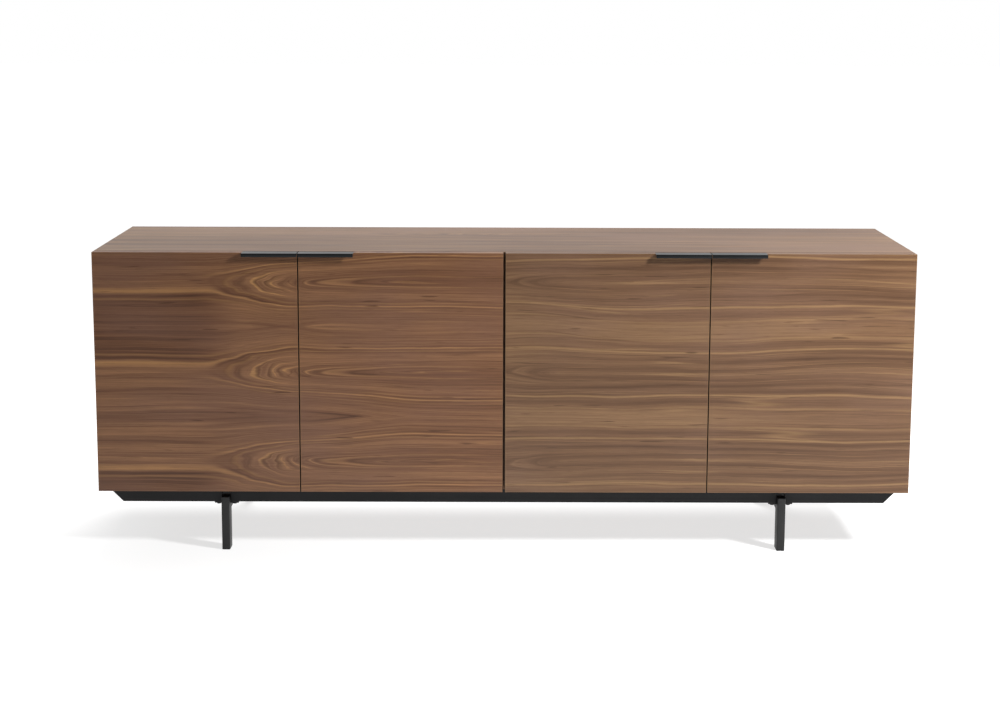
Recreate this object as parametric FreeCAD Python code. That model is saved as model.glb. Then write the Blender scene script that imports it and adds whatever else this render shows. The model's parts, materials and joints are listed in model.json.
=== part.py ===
import FreeCAD, Part
import math
import os

# A four-door walnut sideboard on two steel leg frames, built piece by piece, in millimetres.
# X runs along the width, Y from the fronts (negative) to the back, and Z up from the floor.
# The origin is on the floor, under the middle of the whole piece with its handles.

V = FreeCAD.Vector

# Whole piece
overall_width = 2000.0
body_depth = 450.0
carcass_height = 597.0
plinth_height = 35.0
floor_clearance = 118.0
overrun = 5.0

# How many flats stand for a round form
fastener_sides = 6
pin_sides = 6
cup_sides = 12

# Boards
board = 22.0
door_thickness = 22.0
back_thickness = 8.0
rebate_width = 10.0
back_play = 0.3
edge_ease = 0.6

# Gaps round the doors
door_back_gap = 3.0
pair_gap = 2.0
centre_gap = 5.0

# Shelves and the pins that carry them
shelf_thickness = 18.0
shelf_setback = 20.0
shelf_back_play = 2.0
shelf_side_play = 1.0
pin_radius = 2.5
pin_hole_play = 0.1
pin_hole_depth = 10.0
pin_tip_play = 1.0
pin_pitch = 32.0
pin_rows = 3
pin_front_inset = 60.0
pin_back_inset = 60.0
pin_block_length = 10.0
pin_block_width = 8.0
pin_block_height = 6.0

# Dowels that hold the partition and the plinth
dowel_radius = 4.0
dowel_play = 0.1
dowel_end_play = 1.0
dowel_in_board = 12.0
dowel_in_partition = 20.0
dowel_in_rail = 18.0
dowel_end_inset = 60.0
partition_dowels = 2
middle_rail_dowels = 3
side_rail_dowel_inset = 60.0

# Back panel screws
wood_screw_radius = 1.75
wood_screw_head_radius = 3.5
wood_screw_head_depth = 1.8
wood_screw_play = 0.1
back_screw_length = 24.0
back_screw_end_inset = 90.0
back_screws_long_side = 4
back_screws_short_side = 2

# Handles: a bent strip let into the top edge of each door
handle_length = 134.0
handle_metal = 2.5
handle_projection = 14.5
handle_lip_height = 9.0
handle_tab_height = 20.0
handle_bend = 1.6
handle_play = 0.2
handle_screw_length = 15.0
handle_screw_inset = 22.0
handle_screw_drop = 12.0

# Door bumpers
bumper_radius = 5.0
bumper_play = 0.3
bumper_dome = 1.0
bumper_top_inset = 160.0
bumper_bottom_inset = 25.0

# Hinges, in plan: along the door from its hinge edge, and back from the door's front face
hinge_inset = 100.0
arm_pivot = (42.5, 35.0)
cup_pivot = (15.2, 16.7)
hinge_pin_radius = 1.25
hinge_pin_play = 0.05
hinge_pin_end = 0.4
link_half_width = 6.0
link_half_metal = 1.1
link_eye_radius = 2.6
link_side_play = 0.3
link_bends = [(19.0, 13.2), (30.5, 13.2), (33.8, 16.5), (34.2, 24.0)]
cup_radius = 17.5
cup_edge_distance = 5.0
cup_depth = 13.2
cup_wall = 0.8
cup_play = 0.1
cup_rim = 0.9
cup_flange = 1.2
cup_ear_radius = 6.0
cup_screw_spacing = 48.0
cup_screw_offset = 6.0
cup_screw_length = 12.0
cup_lug = 2.4
cup_lug_radius = 3.0
arm_metal = 1.2
arm_nose_radius = 4.2
arm_nose_open = 8.0
arm_shoulder = 28.0
arm_depth = 9.0
plate_screw_line = 37.0
plate_screw_spacing = 32.0
plate_base = 2.5
plate_half_height = 24.0
plate_half_width = 7.0
plate_ridge_length = 34.0
plate_screw_radius = 2.5
plate_screw_depth = 9.5
plate_screw_head_radius = 4.0
plate_screw_head = 1.8
arm_tail = 30.0

# Plinth
plinth_board = 18.0
plinth_setback = 30.0
plinth_end_inset = 19.0
plinth_notch_play = 1.0

# Leg frames
leg_outer_inset = 300.0
leg_tube_width = 20.0
leg_tube_depth = 35.0
leg_tube_wall = 2.0
leg_corner = 1.5
leg_front_setback = 12.0
leg_top_above_plinth = 16.0
leg_plate = 4.0
leg_plate_reach = 20.0
leg_plate_length = 40.0
leg_plate_setback = 2.0
leg_screw_radius = 3.0
leg_screw_play = 0.2
leg_screw_depth = 26.0
leg_screw_head_radius = 5.5
leg_screw_head = 3.4
glide_foot = 2.0
glide_plug_height = 14.0
glide_play = 0.2

# Planes of the carcass, worked out from the sizes above
half_width = overall_width / 2
door_front = (handle_projection - body_depth) / 2
door_back = door_front + door_thickness
carcass_front = door_back + door_back_gap
carcass_back = door_front + body_depth
back_front = carcass_back - back_thickness
plinth_bottom = floor_clearance
carcass_bottom = plinth_bottom + plinth_height
carcass_top = carcass_bottom + carcass_height
inside_top = carcass_top - board
inside_bottom = carcass_bottom + board
inside_side = half_width - board
door_width = (overall_width - centre_gap - 2 * pair_gap) / 4
shelf_bottom = (inside_top + inside_bottom - shelf_thickness) / 2

# Planes of the plinth and the leg frames
plinth_front = door_front + plinth_setback
plinth_back = carcass_back - plinth_setback
leg_centre_x = half_width - leg_outer_inset - leg_tube_width / 2
leg_front = door_front + leg_front_setback
leg_back = carcass_back - leg_front_setback
leg_top = plinth_bottom + leg_top_above_plinth
beam_bottom = leg_top - leg_tube_depth
leg_plate_bottom = plinth_bottom - leg_plate
notch_half = leg_tube_width / 2 + plinth_notch_play

# Where each door hangs: the edge that it turns at, which way it runs from there (1 to the right),
# and how far the board that carries its hinges stands in from that edge
side_face = board
partition_face = (board - centre_gap) / 2
doors = {
    "left_outer": (-half_width, 1, side_face),
    "left_inner": (-centre_gap / 2, -1, partition_face),
    "right_inner": (centre_gap / 2, 1, partition_face),
    "right_outer": (half_width, -1, side_face),
}
hinge_heights = [carcass_bottom + hinge_inset, carcass_top - hinge_inset]


def block(x0, x1, y0, y1, z0, z1):
    """A box between two opposite corners."""
    return Part.makeBox(x1 - x0, y1 - y0, z1 - z0, V(x0, y0, z0))


def prism(points, start, end, axis):
    """An outline drawn across one axis, drawn out along it."""
    places = {
        "x": lambda a, b: V(start, a, b),
        "y": lambda a, b: V(a, start, b),
        "z": lambda a, b: V(a, b, start),
    }
    ways = {"x": V(1, 0, 0), "y": V(0, 1, 0), "z": V(0, 0, 1)}
    return sheet([places[axis](a, b) for a, b in points]).extrude(ways[axis] * (end - start))


def ring(radius, centre, way, sides):
    """The corners of an outline of even flats round a line."""
    first = V(0, 0, 1) if abs(way.z) < abs(way.x) + abs(way.y) else V(1, 0, 0)
    second = way.cross(first)
    corners = []
    for i in range(sides):
        turn = 2 * math.pi * (i + 1 / 2) / sides
        corners.append(centre + first * (radius * math.cos(turn)) + second * (radius * math.sin(turn)))
    return corners


def sheet(corners):
    """A flat face with these corners."""
    return Part.Face(Part.makePolygon(corners + corners[:1]))


def rod(radius, start, way, length, sides=fastener_sides):
    """A bar from a point along a direction, with a few flats for its round."""
    return sheet(ring(radius, start, way, sides)).extrude(way * length)


def taper(first_radius, last_radius, start, way, length, sides=fastener_sides):
    """A bar that narrows from one radius to another."""
    near = ring(first_radius, start, way, sides)
    far = ring(last_radius, start + way * length, way, sides)
    flats = [sheet([near[i - 1], near[i], far[i], far[i - 1]]) for i in range(sides)]
    return Part.Solid(Part.Shell([sheet(near), sheet(far)] + flats))


def turning_bore(pivot, low, height):
    """The upright hole that a hinge pin turns in, whose flats stay clear of the pin's corners."""
    radius = (hinge_pin_radius + hinge_pin_play) / math.cos(math.pi / pin_sides)
    return rod(radius, V(*pivot, low), V(0, 0, 1), height, pin_sides)


def fused(pieces):
    """One solid from several that overlap or meet."""
    whole = pieces[0].fuse(pieces[1:]) if len(pieces) > 1 else pieces[0]
    return whole.removeSplitter()


def spread(first, last, count):
    """Even places from the first to the last."""
    return [first + (last - first) * i / (count - 1) for i in range(count)]


def countersunk_screw(head, way, length):
    """A wood screw: its flat head starts at a point, and its shank runs on along a direction."""
    cone = taper(wood_screw_head_radius, wood_screw_radius, head, way, wood_screw_head_depth)
    return fused([cone, rod(wood_screw_radius, head, way, length)])


def countersunk_hole(head, way, length):
    """The hole that a wood screw sits in, a little wider all round."""
    play = wood_screw_play
    cone = taper(wood_screw_head_radius + play, wood_screw_radius + play, head, way,
                 wood_screw_head_depth)
    return fused([cone, rod(wood_screw_radius + play, head, way, length + play)])


def pilot_hole(head, way, length):
    """The straight hole for a wood screw's shank in the wood behind the sheet that it holds."""
    return rod(wood_screw_radius + wood_screw_play, head, way, length + wood_screw_play)


def save(name, pieces):
    """Writes one node's solids."""
    shape = pieces[0] if len(pieces) == 1 else Part.makeCompound(pieces)
    shape.exportStep(os.path.join("parts", name + ".step"))


# Carcass

def carcass_boards():
    """The four outer boards, mitred where they meet."""
    outer = {
        "tl": (-half_width, carcass_top), "tr": (half_width, carcass_top),
        "bl": (-half_width, carcass_bottom), "br": (half_width, carcass_bottom),
    }
    inner = {
        "tl": (-inside_side, inside_top), "tr": (inside_side, inside_top),
        "bl": (-inside_side, inside_bottom), "br": (inside_side, inside_bottom),
    }
    ends = {
        "top_panel": ("tl", "tr"), "bottom_panel": ("bl", "br"),
        "left_side_panel": ("tl", "bl"), "right_side_panel": ("tr", "br"),
    }
    rebate = block(-inside_side - rebate_width, inside_side + rebate_width, back_front,
                   carcass_back + overrun, inside_bottom - rebate_width, inside_top + rebate_width)
    boards = {}
    for name, (a, b) in ends.items():
        outline = [outer[a], outer[b], inner[b], inner[a]]
        boards[name] = prism(outline, carcass_front, carcass_back, "y").cut(rebate)
    return boards


def pin_places():
    """Front-to-back places of the shelf pins."""
    return [carcass_front + pin_front_inset, back_front - pin_back_inset]


def pin_faces():
    """Each upright face with shelf pins: its place, and the way that its holes run into the board."""
    half = board / 2
    return [(-inside_side, -1), (-half, 1), (half, -1), (inside_side, 1)]


def pin_holes():
    """Rows of holes for the shelf pins in the sides and the partition."""
    holes = []
    middle = shelf_bottom - pin_radius
    for face, way in pin_faces():
        for y in pin_places():
            for row in range(pin_rows):
                z = middle + (row - (pin_rows - 1) / 2) * pin_pitch
                holes.append(rod(pin_radius + pin_hole_play, V(face, y, z), V(way, 0, 0),
                                 pin_hole_depth))
    return holes


def shelf_pins():
    """Pins with a flat-topped block that the shelves rest on."""
    pins = []
    z = shelf_bottom - pin_radius
    for face, way in pin_faces():
        for y in pin_places():
            shank = rod(pin_radius, V(face, y, z), V(way, 0, 0), pin_hole_depth - pin_tip_play)
            reach = sorted([face, face - way * pin_block_length])
            seat = block(reach[0], reach[1], y - pin_block_width / 2, y + pin_block_width / 2,
                         shelf_bottom - pin_block_height, shelf_bottom)
            pins.append(fused([seat, shank]))
    return pins


def shelf(side):
    """One loose shelf, on the left (-1) or the right (1)."""
    near = board / 2 + shelf_side_play
    far = inside_side - shelf_side_play
    ends = sorted([side * near, side * far])
    return block(ends[0], ends[1], carcass_front + shelf_setback, back_front - shelf_back_play,
                 shelf_bottom, shelf_bottom + shelf_thickness)


def partition_dowel_rods(radius, end_play):
    """Dowels between the partition and the boards above and below it."""
    rods = []
    y_places = spread(carcass_front + dowel_end_inset, back_front - dowel_end_inset, partition_dowels)
    length = dowel_in_board + dowel_in_partition - 2 * end_play
    for y in y_places:
        top = V(0, y, inside_top + dowel_in_board - end_play)
        bottom = V(0, y, inside_bottom - dowel_in_board + end_play)
        rods.append(rod(radius, top, V(0, 0, -1), length))
        rods.append(rod(radius, bottom, V(0, 0, 1), length))
    return rods


def back_screw_places():
    """Heads of the screws round the back panel and down its middle."""
    inset = rebate_width / 2
    xs = spread(-inside_side + back_screw_end_inset, inside_side - back_screw_end_inset,
                back_screws_long_side)
    zs = spread(inside_bottom + back_screw_end_inset, inside_top - back_screw_end_inset,
                back_screws_short_side)
    places = [(x, z) for x in xs for z in (inside_bottom - inset, inside_top + inset)]
    places += [(x, z) for x in (-inside_side - inset, 0, inside_side + inset) for z in zs]
    return [V(x, carcass_back, z) for x, z in places]


def back_panel():
    """The back board, let into the rebate."""
    reach = rebate_width - back_play
    return block(-inside_side - reach, inside_side + reach, back_front, carcass_back,
                 inside_bottom - reach, inside_top + reach)


def rail_dowel_rods(radius, end_play):
    """Dowels between the plinth rails and the bottom panel."""
    rods = []
    inner_end = leg_centre_x - notch_half - side_rail_dowel_inset
    outer_start = leg_centre_x + notch_half + side_rail_dowel_inset
    outer_end = half_width - plinth_end_inset - plinth_height - side_rail_dowel_inset
    xs = spread(-inner_end, inner_end, middle_rail_dowels)
    xs += [outer_start, outer_end, -outer_start, -outer_end]
    length = dowel_in_board + dowel_in_rail - 2 * end_play
    for y in (plinth_front + plinth_board / 2, plinth_back - plinth_board / 2):
        for x in xs:
            start = V(x, y, carcass_bottom - dowel_in_rail + end_play)
            rods.append(rod(radius, start, V(0, 0, 1), length))
    return rods


def build_carcass():
    """Boards, back, partition and shelves, with every hole that they need."""
    boards = carcass_boards()
    boards["centre_partition"] = block(-board / 2, board / 2, carcass_front, back_front,
                                       inside_bottom, inside_top)
    back = back_panel()
    screws = back_screw_places()
    way = V(0, -1, 0)
    screw_holes = [countersunk_hole(head, way, back_screw_length) for head in screws]
    pilot_holes = [pilot_hole(head, way, back_screw_length) for head in screws]
    dowel_wide = dowel_radius + dowel_play
    upright_holes = pin_holes() + hinge_plate_holes()
    cuts = {
        "top_panel": partition_dowel_rods(dowel_wide, 0),
        "bottom_panel": partition_dowel_rods(dowel_wide, 0) + rail_dowel_rods(dowel_wide, 0),
        "left_side_panel": upright_holes,
        "right_side_panel": upright_holes,
        "centre_partition": upright_holes + partition_dowel_rods(dowel_wide, 0),
    }
    for name, panel in boards.items():
        save(name, [panel.cut(cuts[name] + pilot_holes)])
    save("back_panel", [back.cut(screw_holes)])
    save("back_panel_screws", [countersunk_screw(head, way, back_screw_length) for head in screws])
    save("left_shelf", [shelf(-1)])
    save("right_shelf", [shelf(1)])
    save("shelf_pins", shelf_pins())
    save("partition_dowels", partition_dowel_rods(dowel_radius, dowel_end_play))


# Plinth and legs

def plinth_rail(y0, y1):
    """A rail with ends cut at 45 degrees, open where the two leg frames pass through it."""
    top = half_width - plinth_end_inset
    bottom = top - plinth_height
    outline = [(-top, carcass_bottom), (top, carcass_bottom),
               (bottom, plinth_bottom), (-bottom, plinth_bottom)]
    rail = prism(outline, y0, y1, "y")
    notches = [block(x - notch_half, x + notch_half, y0 - overrun, y1 + overrun,
                     plinth_bottom - overrun, carcass_bottom + overrun)
               for x in (-leg_centre_x, leg_centre_x)]
    holes = rail_dowel_rods(dowel_radius + dowel_play, 0) + leg_screw_holes()
    return rail.cut(notches + holes).Solids


def plinth_end(side):
    """The sloping end board, between the rails."""
    top = half_width - plinth_end_inset
    bottom = top - plinth_height
    across = plinth_board * math.sqrt(2)
    outline = [(top, carcass_bottom), (bottom, plinth_bottom),
               (bottom - across, plinth_bottom), (top - across, carcass_bottom)]
    outline = [(side * x, z) for x, z in outline]
    return prism(outline, plinth_front + plinth_board, plinth_back - plinth_board, "y")


def leg_plate_spans():
    """Front-to-back spans of the plates under the front and back rails."""
    front = plinth_front + leg_plate_setback
    back = plinth_back - leg_plate_setback
    return [(front, front + leg_plate_length), (back - leg_plate_length, back)]


def leg_screw_places():
    """Heads of the screws that pass up through the leg plates into the rails."""
    places = []
    reach = leg_tube_width / 2 + leg_plate_reach / 2
    for x in (-leg_centre_x, leg_centre_x):
        for y in (plinth_front + plinth_board / 2, plinth_back - plinth_board / 2):
            places += [V(x - reach, y, leg_plate_bottom), V(x + reach, y, leg_plate_bottom)]
    return places


def leg_screw_holes():
    """Holes for the leg screws, through the plates and up into the rails."""
    return [rod(leg_screw_radius + leg_screw_play, place, V(0, 0, 1),
                leg_plate + leg_screw_depth + leg_screw_play)
            for place in leg_screw_places()]


def leg_screws():
    """Screws with round heads under the plates."""
    screws = []
    for place in leg_screw_places():
        shank = rod(leg_screw_radius, place, V(0, 0, 1), leg_plate + leg_screw_depth)
        head = rod(leg_screw_head_radius, place, V(0, 0, -1), leg_screw_head)
        screws.append(fused([head, shank]))
    return screws


def tube(x, y0, y1, z0, z1, way):
    """A length of the leg frames' rectangular tube, with eased corners and open or shut ends."""
    half = leg_tube_width / 2
    outer = block(x - half, x + half, y0, y1, z0, z1)
    along = [edge for edge in outer.Edges
             if abs(edge.tangentAt(edge.FirstParameter).dot(way)) > math.cos(math.pi / 4)]
    return outer.makeChamfer(leg_corner, along)


def leg_post(x, y0):
    """An upright of a leg frame: hollow, shut at its top, and open below for its glide."""
    half = leg_tube_width / 2 - leg_tube_wall
    wall = leg_tube_wall
    post = tube(x, y0, y0 + leg_tube_depth, glide_foot, leg_top, V(0, 0, 1))
    bore = block(x - half, x + half, y0 + wall, y0 + leg_tube_depth - wall,
                 glide_foot - overrun, leg_top - wall)
    return post.cut(bore)


def leg_beam(x):
    """The cross tube of a leg frame, between its two uprights."""
    half = leg_tube_width / 2 - leg_tube_wall
    wall = leg_tube_wall
    y0 = leg_front + leg_tube_depth
    y1 = leg_back - leg_tube_depth
    beam = tube(x, y0, y1, beam_bottom, leg_top, V(0, 1, 0))
    bore = block(x - half, x + half, y0 - overrun, y1 + overrun, beam_bottom + wall, leg_top - wall)
    return beam.cut(bore)


def leg_frame(x):
    """One inverted U with its four fixing plates."""
    pieces = [leg_post(x, leg_front), leg_post(x, leg_back - leg_tube_depth), leg_beam(x)]
    holes = leg_screw_holes()
    for y0, y1 in leg_plate_spans():
        for side in (-1, 1):
            near = x + side * leg_tube_width / 2
            ends = sorted([near, near + side * leg_plate_reach])
            plate = block(ends[0], ends[1], y0, y1, leg_plate_bottom, plinth_bottom)
            pieces.append(plate.cut(holes))
    return pieces


def foot_glides():
    """A plastic foot under each upright, with a plug up inside the tube."""
    glides = []
    half = leg_tube_width / 2
    inner = half - leg_tube_wall - glide_play
    edge = leg_tube_wall + glide_play
    for x in (-leg_centre_x, leg_centre_x):
        for y0 in (leg_front, leg_back - leg_tube_depth):
            y1 = y0 + leg_tube_depth
            foot = tube(x, y0, y1, 0, glide_foot, V(0, 0, 1))
            plug = block(x - inner, x + inner, y0 + edge, y1 - edge, 0, glide_foot + glide_plug_height)
            glides.append(fused([foot, plug]))
    return glides


def build_stand():
    """Plinth, leg frames, glides and what fixes them."""
    save("plinth_front_rail", plinth_rail(plinth_front, plinth_front + plinth_board))
    save("plinth_back_rail", plinth_rail(plinth_back - plinth_board, plinth_back))
    save("plinth_left_end", [plinth_end(-1)])
    save("plinth_right_end", [plinth_end(1)])
    save("plinth_dowels", rail_dowel_rods(dowel_radius, dowel_end_play))
    save("left_leg_frame", leg_frame(-leg_centre_x))
    save("right_leg_frame", leg_frame(leg_centre_x))
    save("leg_screws", leg_screws())
    save("foot_glides", foot_glides())


# Hinges, drawn in plan about one hinge: along the door, back from its front face, and up

cup_centre = cup_edge_distance + cup_radius
cup_floor = door_thickness - cup_depth
carcass_line = door_thickness + door_back_gap
screw_line = carcass_line + plate_screw_line


def hung(pieces, door, height):
    """Moves pieces drawn about one hinge to their place at a door."""
    edge, way, _ = doors[door]
    placed = []
    for piece in pieces:
        if way < 0:
            piece = piece.mirror(V(0, 0, 0), V(1, 0, 0))
        placed.append(piece.translated(V(edge, door_front, height)))
    return placed


def cup_bore():
    """The round pocket for a hinge cup in the door's back."""
    return rod(cup_radius + cup_play, V(cup_centre, cup_floor, 0), V(0, 1, 0), cup_depth + overrun,
               cup_sides)


def cup_screw_heads():
    """Places of the two screws beside a hinge cup, on its flange."""
    x = cup_centre + cup_screw_offset
    y = door_thickness + cup_flange
    return [V(x, y, z) for z in (-cup_screw_spacing / 2, cup_screw_spacing / 2)]


def cup_lug_span(side):
    """The lowest and highest edge of a lug, below (-1) or above (1) the link."""
    near = link_half_width + link_side_play
    return sorted([side * near, side * (near + cup_lug)])


def hinge_cup():
    """A pressed cup with its flange, and two lugs that hold the link's pin."""
    back = V(0, 1, 0)
    middle = V(cup_centre, cup_floor, 0)
    face = V(cup_centre, door_thickness, 0)
    ear_x = cup_centre + cup_screw_offset
    half_spacing = cup_screw_spacing / 2
    wall = rod(cup_radius, middle, back, cup_depth, cup_sides)
    rim = rod(cup_radius + cup_rim, face, back, cup_flange, cup_sides)
    bar = block(ear_x - cup_ear_radius, ear_x + cup_ear_radius, door_thickness,
                door_thickness + cup_flange, -half_spacing - cup_ear_radius,
                half_spacing + cup_ear_radius)
    corners = [edge for edge in bar.Edges if edge.BoundBox.YLength > cup_flange / 2]
    bar = bar.makeChamfer(cup_ear_radius / 2, corners)
    hollow = rod(cup_radius - cup_wall, middle + back * cup_wall, back, cup_depth + overrun, cup_sides)
    cup = fused([wall, rim, bar]).cut(hollow)
    lugs = []
    for side in (-1, 1):
        low, high = cup_lug_span(side)
        lugs.append(block(cup_pivot[0] - cup_lug_radius, cup_pivot[0] + cup_lug_radius,
                          cup_floor + cup_wall / 2, cup_pivot[1] + cup_lug_radius, low, high))
    holes = [countersunk_hole(head, V(0, -1, 0), cup_screw_length) for head in cup_screw_heads()]
    bore_half = link_half_width + link_side_play + cup_lug + hinge_pin_end + cup_play
    return fused([cup] + lugs).cut([turning_bore(cup_pivot, -bore_half, 2 * bore_half)] + holes)


def band(path, half):
    """The outline of a strip bent along a path, mitred at its bends."""
    sides = ([], [])
    for i, (x, y) in enumerate(path):
        ways = []
        for (ax, ay), (bx, by) in zip(path[max(i - 1, 0):i + 1], path[max(i, 1):i + 2]):
            length = math.hypot(bx - ax, by - ay)
            ways.append(V(-(by - ay) / length, (bx - ax) / length, 0))
        across = ways[0] + ways[-1]
        reach = half * 2 / across.dot(across)
        for sign, points in zip((1, -1), sides):
            points.append((x + sign * reach * across.x, y + sign * reach * across.y))
    return sides[0] + sides[1][::-1]


def hinge_link():
    """The goose-necked link between the cup's pin and the arm's pin."""
    path = [cup_pivot] + link_bends + [arm_pivot]
    low = -link_half_width
    width = 2 * link_half_width
    strip = prism(band(path, link_half_metal), low, -low, "z")
    eyes = [rod(link_eye_radius, V(*end, low), V(0, 0, 1), width, pin_sides)
            for end in (cup_pivot, arm_pivot)]
    bores = [turning_bore(end, low - overrun, width + 2 * overrun) for end in (cup_pivot, arm_pivot)]
    return fused([strip] + eyes).cut(bores)


def hinge_pin(pivot, grip):
    """A pin through the link and what holds it on both sides."""
    half = link_half_width + link_side_play + grip + hinge_pin_end
    return rod(hinge_pin_radius, V(*pivot, -half), V(0, 0, 1), 2 * half, pin_sides)


def hinge_arm(face):
    """The channel-shaped arm on its mounting plate; face is the board that the plate sits on."""
    low = face + plate_base + plate_screw_head
    high = low + arm_depth
    tail = screw_line + arm_tail
    shoulder = carcass_line + arm_shoulder
    x, y = arm_pivot
    r = arm_nose_radius
    outline = [(low, tail), (high, tail), (high, shoulder), (x + r, y), (x - r, y), (low, shoulder)]
    half = link_half_width + link_side_play
    wide = half + arm_metal
    nose = rod(r, V(x, y, -wide), V(0, 0, 1), 2 * wide, pin_sides)
    solid = fused([prism(outline, -wide, wide, "z"), nose])
    inside = prism([(a - arm_metal, b) for a, b in outline], -half, half, "z")
    mouth = block(x - r - overrun, x + r + overrun, y - r - overrun, y + arm_nose_open, -half, half)
    tail_cut = prism([(low - overrun, tail + overrun), (high - arm_metal, tail + overrun),
                      (high - arm_metal, shoulder), (low - overrun, shoulder)], -half, half, "z")
    bore = turning_bore(arm_pivot, -wide - overrun, 2 * (wide + overrun))
    return solid.cut([inside, mouth, tail_cut, bore])


def hinge_plate(face):
    """The mounting plate: a screwed base and the ridge that the arm grips."""
    half = link_half_width
    top = face + plate_base + plate_screw_head + arm_depth - arm_metal
    base = block(face, face + plate_base, screw_line - plate_half_width, screw_line + plate_half_width,
                 -plate_half_height, plate_half_height)
    ridge_start = carcass_line + arm_shoulder
    ridge = block(face, top, ridge_start, ridge_start + plate_ridge_length, -half, half)
    holes = [rod(plate_screw_radius + wood_screw_play, V(face, screw_line, z), V(1, 0, 0), overrun)
             for z in (-plate_screw_spacing / 2, plate_screw_spacing / 2)]
    return fused([base, ridge]).cut(holes)


def plate_screws(face):
    """The two screws of a mounting plate."""
    screws = []
    for z in (-plate_screw_spacing / 2, plate_screw_spacing / 2):
        seat = V(face + plate_base, screw_line, z)
        head = rod(plate_screw_head_radius, seat, V(1, 0, 0), plate_screw_head)
        shank = rod(plate_screw_radius, seat, V(-1, 0, 0), plate_base + plate_screw_depth)
        screws.append(fused([head, shank]))
    return screws


def hinge_plate_holes():
    """Holes in the uprights for every mounting plate's screws."""
    holes = []
    for door, (_, _, face) in doors.items():
        for height in hinge_heights:
            pair = [rod(plate_screw_radius + wood_screw_play, V(face, screw_line, z), V(-1, 0, 0),
                        plate_screw_depth + wood_screw_play)
                    for z in (-plate_screw_spacing / 2, plate_screw_spacing / 2)]
            holes += hung(pair, door, height)
    return holes


def build_hinge_hardware():
    """Arms, mounting plates, their screws and the arm pins, all fixed to the carcass."""
    arms = {"side_hinge_arms": [], "partition_hinge_arms": []}
    plates = []
    screws = []
    pins = []
    for door, (_, _, face) in doors.items():
        kind = "side_hinge_arms" if face == side_face else "partition_hinge_arms"
        for height in hinge_heights:
            arms[kind] += hung([hinge_arm(face)], door, height)
            plates += hung([hinge_plate(face)], door, height)
            screws += hung(plate_screws(face), door, height)
            pins += hung([hinge_pin(arm_pivot, arm_metal)], door, height)
    for name, pieces in arms.items():
        save(name, pieces)
    save("hinge_mounting_plates", plates)
    save("hinge_plate_screws", screws)
    save("hinge_arm_pins", pins)


# Doors, drawn from the hinge edge at the carcass's bottom

def handle_profile():
    """The handle strip's section, from front to back and up: lip, flange and back tab."""
    lip = -handle_projection
    top = carcass_height
    metal = handle_metal
    back = door_thickness
    return [(lip, top), (back, top), (back, top - handle_tab_height),
            (back - metal, top - handle_tab_height), (back - metal, top - metal),
            (lip + metal, top - metal), (lip + metal, top - handle_lip_height),
            (lip, top - handle_lip_height)]


def handle():
    """The bent strip, with its two outer bends rounded and two screw holes in its tab."""
    strip = prism(handle_profile(), door_width - handle_length, door_width, "x")
    bends = [edge for edge in strip.Edges
             if edge.BoundBox.XLength > handle_metal and edge.BoundBox.ZMin > carcass_height - edge_ease
             and edge.BoundBox.YLength < edge_ease]
    strip = strip.makeFillet(handle_bend, bends)
    return strip.cut([countersunk_hole(head, V(0, -1, 0), handle_screw_length)
                      for head in handle_screw_heads()])


def handle_screw_heads():
    """Places of the two screws through the handle's back tab."""
    z = carcass_height - handle_screw_drop
    start = door_width - handle_length
    return [V(x, door_thickness, z) for x in (start + handle_screw_inset, door_width - handle_screw_inset)]


def handle_recess():
    """Where the door's top edge and back are cut away for the handle."""
    start = door_width - handle_length - handle_play
    end = door_width + overrun
    top = carcass_height
    flange = block(start, end, -overrun, door_thickness + overrun, top - handle_metal, top + overrun)
    tab = block(start, end, door_thickness - handle_metal, door_thickness + overrun,
                top - handle_tab_height - handle_play, top + overrun)
    return [flange, tab]


def door_panel():
    """One door board with its cup pockets, screw holes and handle recess."""
    panel = block(0, door_width, 0, door_thickness, 0, carcass_height)
    arrises = [edge for edge in panel.Edges if edge.BoundBox.YLength < edge_ease
               and edge.BoundBox.YMax < door_thickness / 2]
    panel = panel.makeChamfer(edge_ease, arrises)
    cuts = handle_recess()
    cuts += [pilot_hole(head, V(0, -1, 0), handle_screw_length) for head in handle_screw_heads()]
    for height in hinge_heights:
        up = V(0, 0, height - carcass_bottom)
        cuts.append(cup_bore().translated(up))
        cuts += [countersunk_hole(head, V(0, -1, 0), cup_screw_length).translated(up)
                 for head in cup_screw_heads()]
    return panel.cut(cuts)


def door_bumpers():
    """Two soft buffers on the door's back, near its free edge, that meet the carcass's edge."""
    height = door_back_gap - bumper_play
    bumpers = []
    places = [(door_width - bumper_top_inset, carcass_height - board / 2),
              (door_width - bumper_bottom_inset, board / 2)]
    for x, z in places:
        foot = V(x, door_thickness, z)
        bumpers.append(taper(bumper_radius, bumper_radius - bumper_dome, foot, V(0, 1, 0), height,
                             pin_sides))
    return bumpers


def build_door(door):
    """One door with everything that moves with it, and the links of its hinges."""
    name = door + "_door"
    save(name, hung([door_panel()], door, carcass_bottom))
    save(name + "_handle", hung([handle()], door, carcass_bottom))
    screws = [countersunk_screw(head, V(0, -1, 0), handle_screw_length) for head in handle_screw_heads()]
    save(name + "_handle_screws", hung(screws, door, carcass_bottom))
    save(name + "_bumpers", hung(door_bumpers(), door, carcass_bottom))
    cups = []
    cup_screws = []
    pins = []
    links = []
    for height in hinge_heights:
        cups += hung([hinge_cup()], door, height)
        cup_screws += hung([countersunk_screw(head, V(0, -1, 0), cup_screw_length)
                            for head in cup_screw_heads()], door, height)
        pins += hung([hinge_pin(cup_pivot, cup_lug)], door, height)
        links += hung([hinge_link()], door, height)
    save(name + "_hinge_cups", cups)
    save(name + "_cup_screws", cup_screws)
    save(name + "_cup_pins", pins)
    save(name + "_hinge_links", links)


os.makedirs("parts", exist_ok=True)
build_carcass()
build_stand()
build_hinge_hardware()
for door_name in doors:
    build_door(door_name)
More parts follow.
